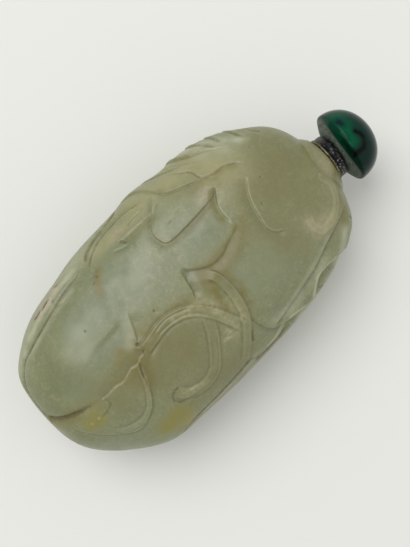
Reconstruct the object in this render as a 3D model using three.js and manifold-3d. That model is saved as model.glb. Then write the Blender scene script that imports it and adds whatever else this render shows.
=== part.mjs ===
// A carved jade snuff bottle lying on its back, closed by a domed glass stopper on a dark collar.
// Millimetres. +X runs along the bottle toward its mouth, +Y across it, +Z up; the rest is z = 0.
// Places on the bottle are [x, turn]: turn is in degrees round the girth, 0 at the front's
// centre line and positive toward +Y.

import * as THREE from 'three';
import { mergeVertices } from 'three/addons/utils/BufferGeometryUtils.js';
import Module from 'manifold-3d';

const wasm = await Module();
wasm.setup();

// Pebble body
const HALF_LENGTH = 32.5;
const HALF_WIDTH = 18.05;
const FRONT_DEPTH = 12;
const BACK_DEPTH = 12.5; // half a millimetre deeper than it stands, so the rest is ground flat
const AXIS_HEIGHT = 12;
const PLAN_POWER = 2.75;
const GIRTH_POWER = 2.3;

// Hollow
const CAVITY_HALF = [28, 14, 8.4];
const CAVITY_BACK = 0.5;
const BORE_RADIUS = 3.4;
const BORE_INNER_END = 25;

// Mouth
const MOUTH = [32.9, -1.6, AXIS_HEIGHT];
const MOUTH_LEAN = 5.1;
const LAND_RADIUS = 4.7;
const SHOULDER_RADIUS = 6.5;

// Stopper
const GAP = 0.3;
const COLLAR_LEAN = 6.5;
const COLLAR_RADIUS = 4.25;
const COLLAR_HEIGHT = 2.1;
const COLLAR_WAIST = 4.1;
const COLLAR_ROUND = 0.35;
const COLLAR_STEP = 0.15;
const COLLAR_RIM = 0.5;
const PLUG_RADIUS = 3;
const PLUG_LENGTH = 2.5;
const PLUG_BEVEL = 0.3;
const DOME_LEAN = 9.2;
const DOME_RADIUS = 6.75;
const DOME_HEIGHT = 6.1;
const DOME_SEAT_RADIUS = 3.7;
const DOME_SEAT_DEPTH = 1.35;
const DOME_EDGE = 0.28;
const DOME_UNDERCUT = [0.82, 0.55]; // shares of the radius and of the seat's depth
const DOME_ROUND = 0.12;
const DOME_FULLNESS = 0.9;
const DOME_SEAT_X = 35.55;
const DOME_AXIS_Y = -1.72;
const TURNED_SIDES = 40;
const DOME_STEPS = 11;

// Carving
const EDGE_BEVEL = 0.9; // width over which a cut edge falls
const PATH_STEPS = 5; // straight runs between two places of a path
const EDGE_FADE = 0.12; // share of its length over which a cut edge starts and stops
const VALLEY_FADE = 0.3;
const STEM_FADE = 0.05;
const STEM_CROWN = 0.42;
const STEM_SIDE = 0.6; // power of the stem's round section
const GUTTER_DEPTH = 0.3;
const GUTTER_AT = 1.3; // in stem half widths from its middle
const GUTTER_HALF = 0.5;
const LEAF_ROOT = 0.65; // share of the full width at the root
const LEAF_WIDEST = 0.35; // share of the length where the leaf is widest
const LEAF_TIP = 0.8; // power that closes the width to the tip
const LEAF_SAG = 0.25; // share of the lift lost from spine to edge

// Mesh of the carved skin
const SKIN_DETAIL = 84;
const SKIN_FACES = 6600;
const FIRST_LIMIT = 1e-6;
const LIMIT_GROWTH = 1.6;
const LENGTH_COST = 2e-5;
const SAME_WAY = 0.4;
const SMALLEST_AREA = 0.004;
const SHARED_CORNERS = 4; // the two ends of an edge and the two corners that face it

// Overlapping leaves, the lowest first. Each spine runs from root to tip; half is half the
// widest width, lift the height at the spine, tilt the rise toward its free left edge.
const LEAVES = [
  { spine: [[8, 45], [3, 42.5], [-2.4, 40.5]], half: 1.3, lift: 0.3, tilt: 0.15 },
  { spine: [[8, 51], [0, 48], [-5, 46], [-10, 40]], half: 2.1, lift: 0.4, tilt: 0.12 },
  { spine: [[9, 58], [2, 60], [-5, 57], [-10, 49]], half: 1.7, lift: 0.35, tilt: 0.2 },
  { spine: [[10, 66], [6, 72], [-0.5, 84]], half: 1.8, lift: 0.45, tilt: 0.25 },
  { spine: [[17, 30], [9, 30], [2.2, 26.5]], half: 3, lift: 0.5, tilt: 0.12, tip: 0.5, vein: 0.14 },
  { spine: [[16, 35], [11.3, 46], [8, 58], [5, 74]], half: 1.9, lift: 0.6, tilt: 0.2 },
  { spine: [[22, 33], [17, 45], [13, 60], [10, 82]], half: 2.4, lift: 0.65, tilt: 0.2 },
  { spine: [[23, 42], [18.8, 54], [16.4, 66], [14.5, 90]], half: 1.7, lift: 0.65, tilt: 0.22 },
  { spine: [[24, 44], [20.8, 58], [19.3, 75], [18.5, 100]], half: 1.6, lift: 0.6, tilt: 0.22 },
  { spine: [[25, 44], [23, 56], [22.2, 74], [21.5, 100]], half: 1.6, lift: 0.5, tilt: 0.22 },
  { spine: [[27, 44], [26, 56], [26.2, 74], [25.5, 104]], half: 1.9, lift: 0.4, tilt: 0.2 },
  { spine: [[24, -50], [18, -53], [10, -57], [4.5, -56]], half: 3.1, lift: 0.45, tilt: -0.2 },
  { spine: [[26, -120], [14, -128], [2, -140], [-12, -158]], half: 4.2, lift: 0.45, tilt: 0.1, vein: 0.2 },
  { spine: [[26, 135], [14, 134], [0, 142], [-14, 156]], half: 4.4, lift: 0.45, tilt: -0.1, vein: 0.2 },
];

// Round stems and tendrils of even width, the lowest first.
const STEMS = [
  { spine: [[-1, -21], [-2.6, -31], [-5.2, -41], [-9, -48], [-12, -45], [-13.3, -38]], half: 0.85 },
  { spine: [[-11.5, -9], [-6, -7.5], [-2, -11], [0.5, -21], [2.2, -33]], half: 0.8 },
  { spine: [[1.6, 3], [4.2, -7], [4.8, -18], [4, -32], [1, -45], [-2, -58]], half: 0.95 },
  { spine: [[21.6, -24], [22.3, -34], [25, -41], [28, -37], [29.2, -22], [28.6, -6]], half: 1 },
  { spine: [[29, 110], [22, 150], [12, 176], [-4, 200], [-18, 215], [-26, 240]], half: 1 },
];

// Cut edges. The surface drops by "drop" on the right of the path and climbs back over "reach".
const EDGES = [
  { path: [[-22, -13], [-16, -14], [-12.5, -10.5], [-9, -4]], drop: -0.45, reach: 2.6 },
  { path: [[-29.5, -12], [-29, -24], [-26.5, -36], [-22, -43.5], [-18, -38], [-15, -22], [-14, -13]],
    drop: 0.55, reach: 2.6 },
  { path: [[-1, -11], [0.6, -3], [1.2, 8]], drop: 0.5, reach: 2.2 },
  { path: [[1.2, 8], [3.6, 0], [8, -3], [12, -1.5], [15, 4]], drop: 0.5, reach: 3 },
  { path: [[18.7, -20], [16, -11], [17, 2], [20, 19]], drop: -0.45, reach: 2.2 },
  { path: [[13, 3], [12.6, 10], [14.8, 22]], drop: -0.35, reach: 2 },
  { path: [[5.5, -52], [12, -50], [18, -47], [23, -45]], drop: 0.3, reach: 1.5 },
  { path: [[-16, -69], [-8, -65], [0, -61]], drop: 0.6, reach: 3 },
];

// Soft valleys between the lobes of the fruit.
const VALLEYS = [
  { path: [[-31, 100], [-31.2, 74], [-29.5, 53], [-24, 46.5], [-17, 46], [-10, 48.5]],
    depth: 0.45, half: 0.6 },
  { path: [[-31.8, 14], [-30.5, 0], [-27, -9], [-22, -12.5]], depth: 0.7, half: 1.1 },
  { path: [[-11, 12], [-15, 8.5], [-21, 7]], depth: 0.25, half: 1.6 },
  { path: [[-31.5, -120], [-20, -118], [-6, -122], [6, -118]], depth: 0.4, half: 0.9 },
  { path: [[-31, 100], [-24, 122], [-10, 130]], depth: 0.4, half: 0.8 },
];

// Broad swellings and hollows of the whole form: place, height and spread.
const SWELLS = [
  { at: [-10, -26], rise: -0.35, spread: 4.5 },
  { at: [3, -22], rise: -0.25, spread: 3 },
  { at: [-19, -82], rise: 0.7, spread: 4.5 },
  { at: [-28, -62], rise: -0.8, spread: 5 },
  { at: [5, -82], rise: -0.4, spread: 7 },
  { at: [-16, 82], rise: -0.45, spread: 5 },
  { at: [-32.4, 30], rise: 0.4, spread: 3.5 },
  { at: [-30.5, 84], rise: 0.55, spread: 3.5 },
  { at: [10.6, 84], rise: -0.75, spread: 2.5 },
  { at: [27, 80], rise: -0.4, spread: 3 },
  { at: [27.5, -78], rise: 0.8, spread: 3.8 },
];

const signedPower = (value, power) => Math.sign(value) * Math.abs(value) ** power;
const smooth = (low, high, value) => THREE.MathUtils.smoothstep(value, low, high);
const radians = THREE.MathUtils.degToRad;
const mouthCentre = new THREE.Vector3(...MOUTH);
const mouthAxis = new THREE.Vector3(1, -Math.tan(radians(MOUTH_LEAN)), 0).normalize();

// A point of the bare pebble, from its distance along, its share of the full girth and its turn.
function girthPoint(x, share, side, front) {
  const norm = (Math.abs(side) ** GIRTH_POWER + Math.abs(front) ** GIRTH_POWER) ** (-1 / GIRTH_POWER);
  const reach = share * norm;
  const depth = front > 0 ? FRONT_DEPTH : BACK_DEPTH;
  return new THREE.Vector3(x, HALF_WIDTH * reach * side, AXIS_HEIGHT + depth * reach * front);
}

function pebbleToward(direction) {
  const round = Math.hypot(direction.y, direction.z);
  const norm = (Math.abs(direction.x) ** PLAN_POWER + round ** PLAN_POWER) ** (-1 / PLAN_POWER);
  const turn = Math.atan2(direction.y, direction.z);
  return girthPoint(HALF_LENGTH * direction.x * norm, round * norm, Math.sin(turn), Math.cos(turn));
}

function pebbleAt([x, turn]) {
  const share = Math.max(0, 1 - Math.abs(x / HALF_LENGTH) ** PLAN_POWER) ** (1 / PLAN_POWER);
  return girthPoint(x, share, Math.sin(radians(turn)), Math.cos(radians(turn)));
}

function pebbleNormal(point) {
  const depth = point.z > AXIS_HEIGHT ? FRONT_DEPTH : BACK_DEPTH;
  const across = point.y / HALF_WIDTH;
  const up = (point.z - AXIS_HEIGHT) / depth;
  const share = (Math.abs(across) ** GIRTH_POWER + Math.abs(up) ** GIRTH_POWER) ** (1 / GIRTH_POWER);
  const pull = Math.max(share, 1e-9) ** (PLAN_POWER - GIRTH_POWER);
  return new THREE.Vector3(
    signedPower(point.x / HALF_LENGTH, PLAN_POWER - 1) / HALF_LENGTH,
    pull * signedPower(across, GIRTH_POWER - 1) / HALF_WIDTH,
    pull * signedPower(up, GIRTH_POWER - 1) / depth,
  ).normalize();
}

// A smooth path laid on the pebble, as short straight runs with the surface normal at each.
function layPath(places) {
  const corners = places.map(([x, turn]) => new THREE.Vector3(x, turn, 0));
  const plan = new THREE.CatmullRomCurve3(corners, false, 'centripetal');
  const steps = PATH_STEPS * (places.length - 1);
  const points = plan.getPoints(steps).map((place) => pebbleAt([place.x, place.y]));
  const box = new THREE.Box3().setFromPoints(points);
  return { points, normals: points.map(pebbleNormal), ball: box.getBoundingSphere(new THREE.Sphere()) };
}

// Nearest place on a path: distance, how far along (0 to 1) and which side (+1 left, -1 right).
function nearestOn(path, point) {
  const best = { distance: Infinity, along: 0, side: 1 };
  const run = new THREE.Vector3();
  const off = new THREE.Vector3();
  const last = path.points.length - 1;
  for (let i = 0; i < last; i += 1) {
    run.subVectors(path.points[i + 1], path.points[i]);
    off.subVectors(point, path.points[i]);
    const share = THREE.MathUtils.clamp(off.dot(run) / run.lengthSq(), 0, 1);
    off.addScaledVector(run, -share);
    const distance = off.length();
    if (distance < best.distance) {
      best.distance = distance;
      best.along = (i + share) / last;
      best.side = Math.sign(run.cross(off).dot(path.normals[i])) || 1;
    }
  }
  return best;
}

const laid = (motif, places, reach) => ({ ...motif, path: layPath(places), reach });
const leaves = LEAVES.map((leaf) => laid(leaf, leaf.spine, leaf.half + EDGE_BEVEL));
const stems = STEMS.map((stem) => laid(stem, stem.spine, stem.half + 2 * EDGE_BEVEL));
const edges = EDGES.map((edge) => laid(edge, edge.path, edge.reach));
const valleys = VALLEYS.map((valley) => laid(valley, valley.path, 3 * valley.half));
const swells = SWELLS.map((swell) => ({ ...swell, centre: pebbleAt(swell.at) }));

function near(motif, point) {
  if (point.distanceTo(motif.path.ball.center) > motif.path.ball.radius + motif.reach) {
    return null;
  }
  const place = nearestOn(motif.path, point);
  return place.distance < motif.reach ? place : null;
}

// 1 along most of a path, easing to 0 over the given share of its length at each end.
const ease = (along, share) => smooth(0, share, along) * smooth(0, share, 1 - along);

function leafHalf(leaf, along) {
  const toTip = Math.max(0, (along - LEAF_WIDEST) / (1 - LEAF_WIDEST));
  const opening = THREE.MathUtils.lerp(LEAF_ROOT, 1, smooth(0, LEAF_WIDEST, along));
  return leaf.half * opening * Math.max(0, 1 - toTip ** 2) ** (leaf.tip ?? LEAF_TIP);
}

function layLeaf(height, leaf, point) {
  const place = near(leaf, point);
  if (!place) {
    return height;
  }
  const half = leafHalf(leaf, place.along);
  const cover = smooth(-EDGE_BEVEL / 2, EDGE_BEVEL / 2, half - place.distance);
  const across = Math.min(1, place.distance / Math.max(half, EDGE_BEVEL));
  const bowed = leaf.lift * (1 - LEAF_SAG * across ** 2) + leaf.tilt * across * place.side;
  const crease = Math.exp(-((place.distance / EDGE_BEVEL) ** 2)) * ease(place.along, EDGE_FADE);
  return THREE.MathUtils.lerp(height, bowed - (leaf.vein ?? 0) * crease, cover);
}

function layStem(height, stem, point) {
  const place = near(stem, point);
  if (!place) {
    return height;
  }
  const across = place.distance / stem.half;
  const crown = STEM_CROWN * Math.max(0, 1 - across ** 2) ** STEM_SIDE;
  const gutter = GUTTER_DEPTH * Math.exp(-(((across - GUTTER_AT) / GUTTER_HALF) ** 2));
  return height + (crown - gutter) * ease(place.along, STEM_FADE);
}

function cutEdge(height, edge, point) {
  const place = near(edge, point);
  if (!place) {
    return height;
  }
  const beyond = -place.side * Math.sign(edge.drop) * place.distance;
  const low = smooth(-EDGE_BEVEL / 2, EDGE_BEVEL / 2, beyond) * (1 - smooth(0, edge.reach, place.distance));
  return height - Math.abs(edge.drop) * low * ease(place.along, EDGE_FADE);
}

function cutValley(height, valley, point) {
  const place = near(valley, point);
  if (!place) {
    return height;
  }
  const trough = Math.exp(-((place.distance / valley.half) ** 2));
  return height - valley.depth * trough * ease(place.along, VALLEY_FADE);
}

function carvedHeight(point) {
  let height = 0;
  for (const valley of valleys) {
    height = cutValley(height, valley, point);
  }
  for (const edge of edges) {
    height = cutEdge(height, edge, point);
  }
  for (const stem of stems) {
    height = layStem(height, stem, point);
  }
  for (const leaf of leaves) {
    height = layLeaf(height, leaf, point);
  }
  for (const swell of swells) {
    height += swell.rise * Math.exp(-((point.distanceTo(swell.centre) / swell.spread) ** 2));
  }
  return height;
}

function carvedPoint(direction) {
  const point = pebbleToward(direction);
  point.addScaledVector(pebbleNormal(point), carvedHeight(point));
  return raiseToMouth(point);
}

// The end under the stopper swells to a flat round land at the mouth.
function raiseToMouth(point) {
  if (point.x < 0) {
    return point;
  }
  const below = mouthAxis.dot(mouthCentre.clone().sub(point));
  const radius = point.clone().addScaledVector(mouthAxis, below).distanceTo(mouthCentre);
  return point.addScaledVector(mouthAxis, below * (1 - smooth(LAND_RADIUS, SHOULDER_RADIUS, radius)));
}

// Squared distance to a set of planes, kept as the upper half of a symmetric 4 by 4 matrix.
class Quadric {
  constructor() {
    this.terms = new Float64Array(10);
  }

  addPlane(normal, offset, weight) {
    const plane = [normal.x, normal.y, normal.z, offset];
    let slot = 0;
    for (let i = 0; i < 4; i += 1) {
      for (let j = i; j < 4; j += 1) {
        this.terms[slot] += weight * plane[i] * plane[j];
        slot += 1;
      }
    }
  }

  plus(other) {
    const sum = new Quadric();
    sum.terms = this.terms.map((term, i) => term + other.terms[i]);
    return sum;
  }

  at({ x, y, z }) {
    const [xx, xy, xz, xw, yy, yz, yw, zz, zw, ww] = this.terms;
    return xx * x * x + yy * y * y + zz * z * z + ww
      + 2 * (xy * x * y + xz * x * z + yz * y * z + xw * x + yw * y + zw * z);
  }

  lowest() {
    const [xx, xy, xz, xw, yy, yz, yw, zz, zw] = this.terms;
    const form = new THREE.Matrix3().set(xx, xy, xz, xy, yy, yz, xz, yz, zz);
    const firm = Math.abs(form.determinant()) > 1e-6 * Math.max(xx, yy, zz) ** 3;
    return firm ? new THREE.Vector3(-xw, -yw, -zw).applyMatrix3(form.invert()) : null;
  }
}

// Joins neighbouring corners of a closed mesh, the flattest places first, so that what is left
// of the triangles lies along the carved edges.
class Thinner {
  constructor(points, faces) {
    this.points = points;
    this.faces = faces;
    this.left = faces.length;
    this.around = points.map(() => new Set());
    this.quadrics = points.map(() => new Quadric());
    this.faces.forEach((face, index) => this.enter(face, index));
  }

  enter(face, index) {
    const triangle = new THREE.Triangle(...face.map((corner) => this.points[corner]));
    const normal = triangle.getNormal(new THREE.Vector3());
    const weight = triangle.getArea();
    for (const corner of face) {
      this.around[corner].add(index);
      this.quadrics[corner].addPlane(normal, -normal.dot(triangle.a), weight);
    }
  }

  neighbours(corner) {
    return new Set([...this.around[corner]].flatMap((index) => this.faces[index]));
  }

  // A join is sound if the two corners share just two neighbours and no face turns over.
  sound(a, b, spot) {
    const ofB = this.neighbours(b);
    const shared = [...this.neighbours(a)].filter((corner) => ofB.has(corner));
    return shared.length === SHARED_CORNERS && this.keepsFaces(a, b, spot) && this.keepsFaces(b, a, spot);
  }

  keepsFaces(from, other, spot) {
    const faces = [...this.around[from]].map((index) => this.faces[index]);
    return faces.filter((face) => !face.includes(other)).every((face) => {
      const spots = face.map((corner) => this.points[corner]);
      const before = new THREE.Triangle(...spots).getNormal(new THREE.Vector3());
      spots[face.indexOf(from)] = spot;
      const after = new THREE.Triangle(...spots);
      return after.getNormal(new THREE.Vector3()).dot(before) > SAME_WAY && after.getArea() > SMALLEST_AREA;
    });
  }

  join(a, b, spot, sum) {
    for (const index of this.around[b]) {
      const face = this.faces[index];
      if (face.includes(a)) {
        face.forEach((corner) => this.around[corner].delete(index));
        this.faces[index] = null;
        this.left -= 1;
      } else {
        this.faces[index] = face.map((corner) => (corner === b ? a : corner));
        this.around[a].add(index);
      }
    }
    this.around[b].clear();
    this.points[a] = spot;
    this.quadrics[a] = sum;
  }

  tryJoin(a, b, limit) {
    const sum = this.quadrics[a].plus(this.quadrics[b]);
    const middle = this.points[a].clone().lerp(this.points[b], 0.5);
    const length = this.points[a].distanceTo(this.points[b]);
    const lowest = sum.lowest();
    const spot = lowest && lowest.distanceTo(middle) < length ? lowest : middle;
    if (sum.at(spot) + LENGTH_COST * length ** 4 > limit || !this.sound(a, b, spot)) {
      return false;
    }
    this.join(a, b, spot, sum);
    return true;
  }

  sweep(limit, target) {
    const touched = new Set();
    for (let index = 0; index < this.faces.length && this.left > target; index += 1) {
      const face = this.faces[index];
      if (face && !face.some((corner) => touched.has(corner))) {
        const sides = face.map((corner, k) => [corner, face[(k + 1) % 3]]);
        const joined = sides.find(([a, b]) => this.tryJoin(a, b, limit));
        joined?.forEach((corner) => touched.add(corner));
      }
    }
  }

  thin(target) {
    for (let limit = FIRST_LIMIT; this.left > target; limit *= LIMIT_GROWTH) {
      this.sweep(limit, target);
    }
    const geometry = new THREE.BufferGeometry().setFromPoints(this.points);
    geometry.setIndex(this.faces.filter((face) => face).flat());
    return geometry;
  }
}

function carvedSkin() {
  const ball = new THREE.IcosahedronGeometry(1, SKIN_DETAIL);
  ball.deleteAttribute('normal');
  ball.deleteAttribute('uv');
  const welded = mergeVertices(ball, 1e-5);
  const position = welded.getAttribute('position');
  const points = [];
  for (let i = 0; i < position.count; i += 1) {
    points.push(carvedPoint(new THREE.Vector3().fromBufferAttribute(position, i).normalize()));
  }
  const faces = [];
  for (let i = 0; i < welded.index.count; i += 3) {
    faces.push([0, 1, 2].map((k) => welded.index.getX(i + k)));
  }
  return new Thinner(points, faces).thin(SKIN_FACES);
}

function toSolid(geometry) {
  const bare = geometry.clone();
  bare.deleteAttribute('normal');
  bare.deleteAttribute('uv');
  const welded = mergeVertices(bare, 1e-5);
  return new wasm.Manifold(new wasm.Mesh({
    numProp: 3,
    vertProperties: new Float32Array(welded.getAttribute('position').array),
    triVerts: new Uint32Array(welded.index.array),
  }));
}

function toGeometry(solid) {
  const mesh = solid.getMesh();
  const geometry = new THREE.BufferGeometry();
  geometry.setAttribute('position', new THREE.Float32BufferAttribute(mesh.vertProperties, 3));
  geometry.setIndex([...mesh.triVerts]);
  geometry.computeVertexNormals();
  return geometry;
}

// A turned form: its profile is [radius, distance along the axis], its axis leans from +X to -Y.
function turned(profile, sides, [x, y, z], lean) {
  const lathe = new THREE.LatheGeometry(profile.map(([r, along]) => new THREE.Vector2(r, along)), sides);
  lathe.rotateZ(-Math.PI / 2 - radians(lean));
  lathe.translate(x, y, z);
  return lathe;
}

function bore() {
  const start = BORE_INNER_END - MOUTH[0];
  const profile = [[0, start], [BORE_RADIUS, start], [BORE_RADIUS, 1], [0, 1]];
  return turned(profile, TURNED_SIDES, MOUTH, MOUTH_LEAN);
}

function cavity() {
  const ball = new THREE.IcosahedronGeometry(1, 6);
  const position = ball.getAttribute('position');
  const direction = new THREE.Vector3();
  for (let i = 0; i < position.count; i += 1) {
    const round = pebbleToward(direction.fromBufferAttribute(position, i).normalize());
    const depth = round.z > AXIS_HEIGHT ? FRONT_DEPTH : BACK_DEPTH;
    position.setXYZ(
      i,
      (round.x / HALF_LENGTH) * CAVITY_HALF[0] - CAVITY_BACK,
      (round.y / HALF_WIDTH) * CAVITY_HALF[1],
      AXIS_HEIGHT + ((round.z - AXIS_HEIGHT) / depth) * CAVITY_HALF[2],
    );
  }
  return ball;
}

function floorBlock() {
  const block = new THREE.BoxGeometry(4 * HALF_LENGTH, 4 * HALF_WIDTH, 2 * HALF_WIDTH);
  return block.translate(0, 0, -HALF_WIDTH);
}

function bottle() {
  const outside = toSolid(carvedSkin());
  const hollow = toSolid(cavity()).add(toSolid(bore()));
  return toGeometry(outside.subtract(hollow).subtract(toSolid(floorBlock())));
}

function collar() {
  const base = GAP;
  const top = GAP + COLLAR_HEIGHT;
  const rim = base + COLLAR_RIM;
  const profile = [
    [0, -PLUG_LENGTH],
    [PLUG_RADIUS - PLUG_BEVEL, -PLUG_LENGTH],
    [PLUG_RADIUS, -PLUG_LENGTH + PLUG_BEVEL],
    [PLUG_RADIUS, base],
    [COLLAR_RADIUS - COLLAR_STEP, base],
    [COLLAR_RADIUS, base + COLLAR_STEP],
    [COLLAR_RADIUS, rim],
    [COLLAR_WAIST, rim + COLLAR_STEP],
    [COLLAR_WAIST, top - COLLAR_ROUND],
    [COLLAR_WAIST - COLLAR_ROUND, top],
    [0, top],
  ];
  return turned(profile, TURNED_SIDES, MOUTH, COLLAR_LEAN);
}

function dome() {
  const edge = DOME_SEAT_DEPTH + DOME_EDGE;
  const profile = [
    [0, 0],
    [DOME_SEAT_RADIUS, 0],
    [DOME_UNDERCUT[0] * DOME_RADIUS, DOME_UNDERCUT[1] * DOME_SEAT_DEPTH],
    [DOME_RADIUS - DOME_ROUND, DOME_SEAT_DEPTH],
  ];
  for (let i = 0; i < DOME_STEPS; i += 1) {
    const angle = (Math.PI / 2) * (i / DOME_STEPS);
    const radius = DOME_RADIUS * Math.cos(angle) ** DOME_FULLNESS;
    profile.push([radius, edge + (DOME_HEIGHT - DOME_EDGE) * Math.sin(angle)]);
  }
  profile.push([0, DOME_SEAT_DEPTH + DOME_HEIGHT]);
  return turned(profile, TURNED_SIDES, [DOME_SEAT_X, DOME_AXIS_Y, AXIS_HEIGHT], DOME_LEAN);
}

function piece(name, geometry, color, roughness, metalness) {
  const mesh = new THREE.Mesh(geometry, new THREE.MeshStandardMaterial({ color, roughness, metalness }));
  mesh.name = name;
  return mesh;
}

const stopper = new THREE.Group();
stopper.name = 'stopper';
stopper.add(piece('stopper_collar', collar(), '#24262b', 0.45, 0.7));
stopper.add(piece('stopper_cabochon', dome(), '#0b4a37', 0.12, 0));

const snuffBottle = new THREE.Group();
snuffBottle.name = 'snuff_bottle';
snuffBottle.add(piece('bottle', bottle(), '#8f9578', 0.35, 0));
snuffBottle.add(stopper);

export default snuffBottle;
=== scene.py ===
import math
from collections import namedtuple

import bpy
import numpy as np
from mathutils import Matrix, Vector


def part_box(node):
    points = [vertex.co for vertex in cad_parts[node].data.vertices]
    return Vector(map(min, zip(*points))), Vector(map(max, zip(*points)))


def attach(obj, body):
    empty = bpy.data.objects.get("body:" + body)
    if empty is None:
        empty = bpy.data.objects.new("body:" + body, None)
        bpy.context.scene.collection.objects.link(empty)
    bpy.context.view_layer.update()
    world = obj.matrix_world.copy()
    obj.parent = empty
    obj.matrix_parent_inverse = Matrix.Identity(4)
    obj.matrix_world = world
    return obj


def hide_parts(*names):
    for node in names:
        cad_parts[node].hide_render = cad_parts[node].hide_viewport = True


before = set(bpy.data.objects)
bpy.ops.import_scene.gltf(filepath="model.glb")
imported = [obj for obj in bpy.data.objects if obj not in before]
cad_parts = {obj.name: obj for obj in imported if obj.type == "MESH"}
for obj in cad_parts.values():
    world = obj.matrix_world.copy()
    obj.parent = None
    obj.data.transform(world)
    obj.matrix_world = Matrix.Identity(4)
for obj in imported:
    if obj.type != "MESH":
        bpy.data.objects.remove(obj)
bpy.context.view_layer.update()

# A carved jade snuff bottle lying on its back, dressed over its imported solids. The carving is
# worked out in millimetres: +X toward the mouth, +Y across, +Z up, the rest at z = 0. A place
# on the bottle is (x, turn): turn is in degrees round the girth, 0 at the front's centre line
# and positive toward +Y.

MM = 0.001

# ---------------------------------------------------------------- sizes of the solids
HALF_LENGTH = 32.5
HALF_WIDTH = 18.05
FRONT_DEPTH = 12
BACK_DEPTH = 12.5
AXIS_HEIGHT = 12
PLAN_POWER = 2.75
GIRTH_POWER = 2.3

CAVITY_HALF = np.array([28, 14, 8.4])
CAVITY_BACK = 0.5
BORE_RADIUS = 3.4
RIM_OUTSIDE = BORE_RADIUS + 0.5  # the round opening in the carved skin
HOLLOW_MOUTH = BORE_RADIUS + 0.6


def leaning(degrees):
    """Directions along and across an axis that leans from +X toward -Y."""
    tilt = math.radians(degrees)
    return (np.array([math.cos(tilt), -math.sin(tilt), 0]),
            np.array([math.sin(tilt), math.cos(tilt), 0]))


MOUTH = np.array([32.9, -1.6, AXIS_HEIGHT])
MOUTH_LEAN = 5.1
MOUTH_AXIS, MOUTH_ACROSS = leaning(MOUTH_LEAN)
LAND_RADIUS = 4.7
SHOULDER_RADIUS = 6.5
LIP_BEVEL = 0.15
LIP_DEPTH = 1.2  # from the land to the first even ring of the bore

COLLAR_GAP = 0.3
COLLAR_LEAN = 6.5
COLLAR_RADIUS = 4.25
COLLAR_HEIGHT = 2.1
COLLAR_WAIST = 4.1
COLLAR_RIM = 0.5
PLUG_RADIUS = 3
PLUG_LENGTH = 2.5

DOME_LEAN = 9.2
DOME_RADIUS = 6.75
DOME_HEIGHT = 6.1
DOME_SEAT_RADIUS = 3.7
DOME_SEAT_DEPTH = 1.35
DOME_EDGE = 0.28
DOME_SEAT = np.array([35.55, -1.72, AXIS_HEIGHT])
DOME_FULLNESS = 0.9
GROUND_EDGE = 0.42  # how far up the underside was ground, at the middle
GROUND_CURVE = 0.021  # and how fast that line bends up to both sides

# ---------------------------------------------------------------- the carving
PATH_STEPS = 8  # straight runs between two places of a path
EDGE_BEVEL = 0.26  # width over which a cut edge falls
PALE_LINE_HALF = 0.16  # half width of the pale line along an edge, partly rubbed wear and partly painted highlight
BAND_GUTTER = 0.06  # depth of the gutter along both sides of a stem
GUTTER_HALF = 0.22
SIDE_REACH = 1.2  # how far beside a stem or a leaf its edge still shows
LEAF_ROOT = 0.65
LEAF_WIDEST = 0.35
LEAF_TIP = 0.8
LEAF_SAG = 0.25
LEAF_BEVEL = 0.5
VEIN_HALF = 0.5
GRINDING_WAVES = (3.1, 4.3, 5.9, 8.3, 11.7)
WAVES_OF_EACH = 3
HAND_GRINDING = 0.06
FINEST = 0.205  # longest side of the triangles along a cut line
BACK_FINEST = 0.4
COARSEST = 1.0  # and of those far from any
WIDENING = 0.6  # how fast they grow away from it
BELT = 0.25  # half width of the finest ones beside an edge
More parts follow.
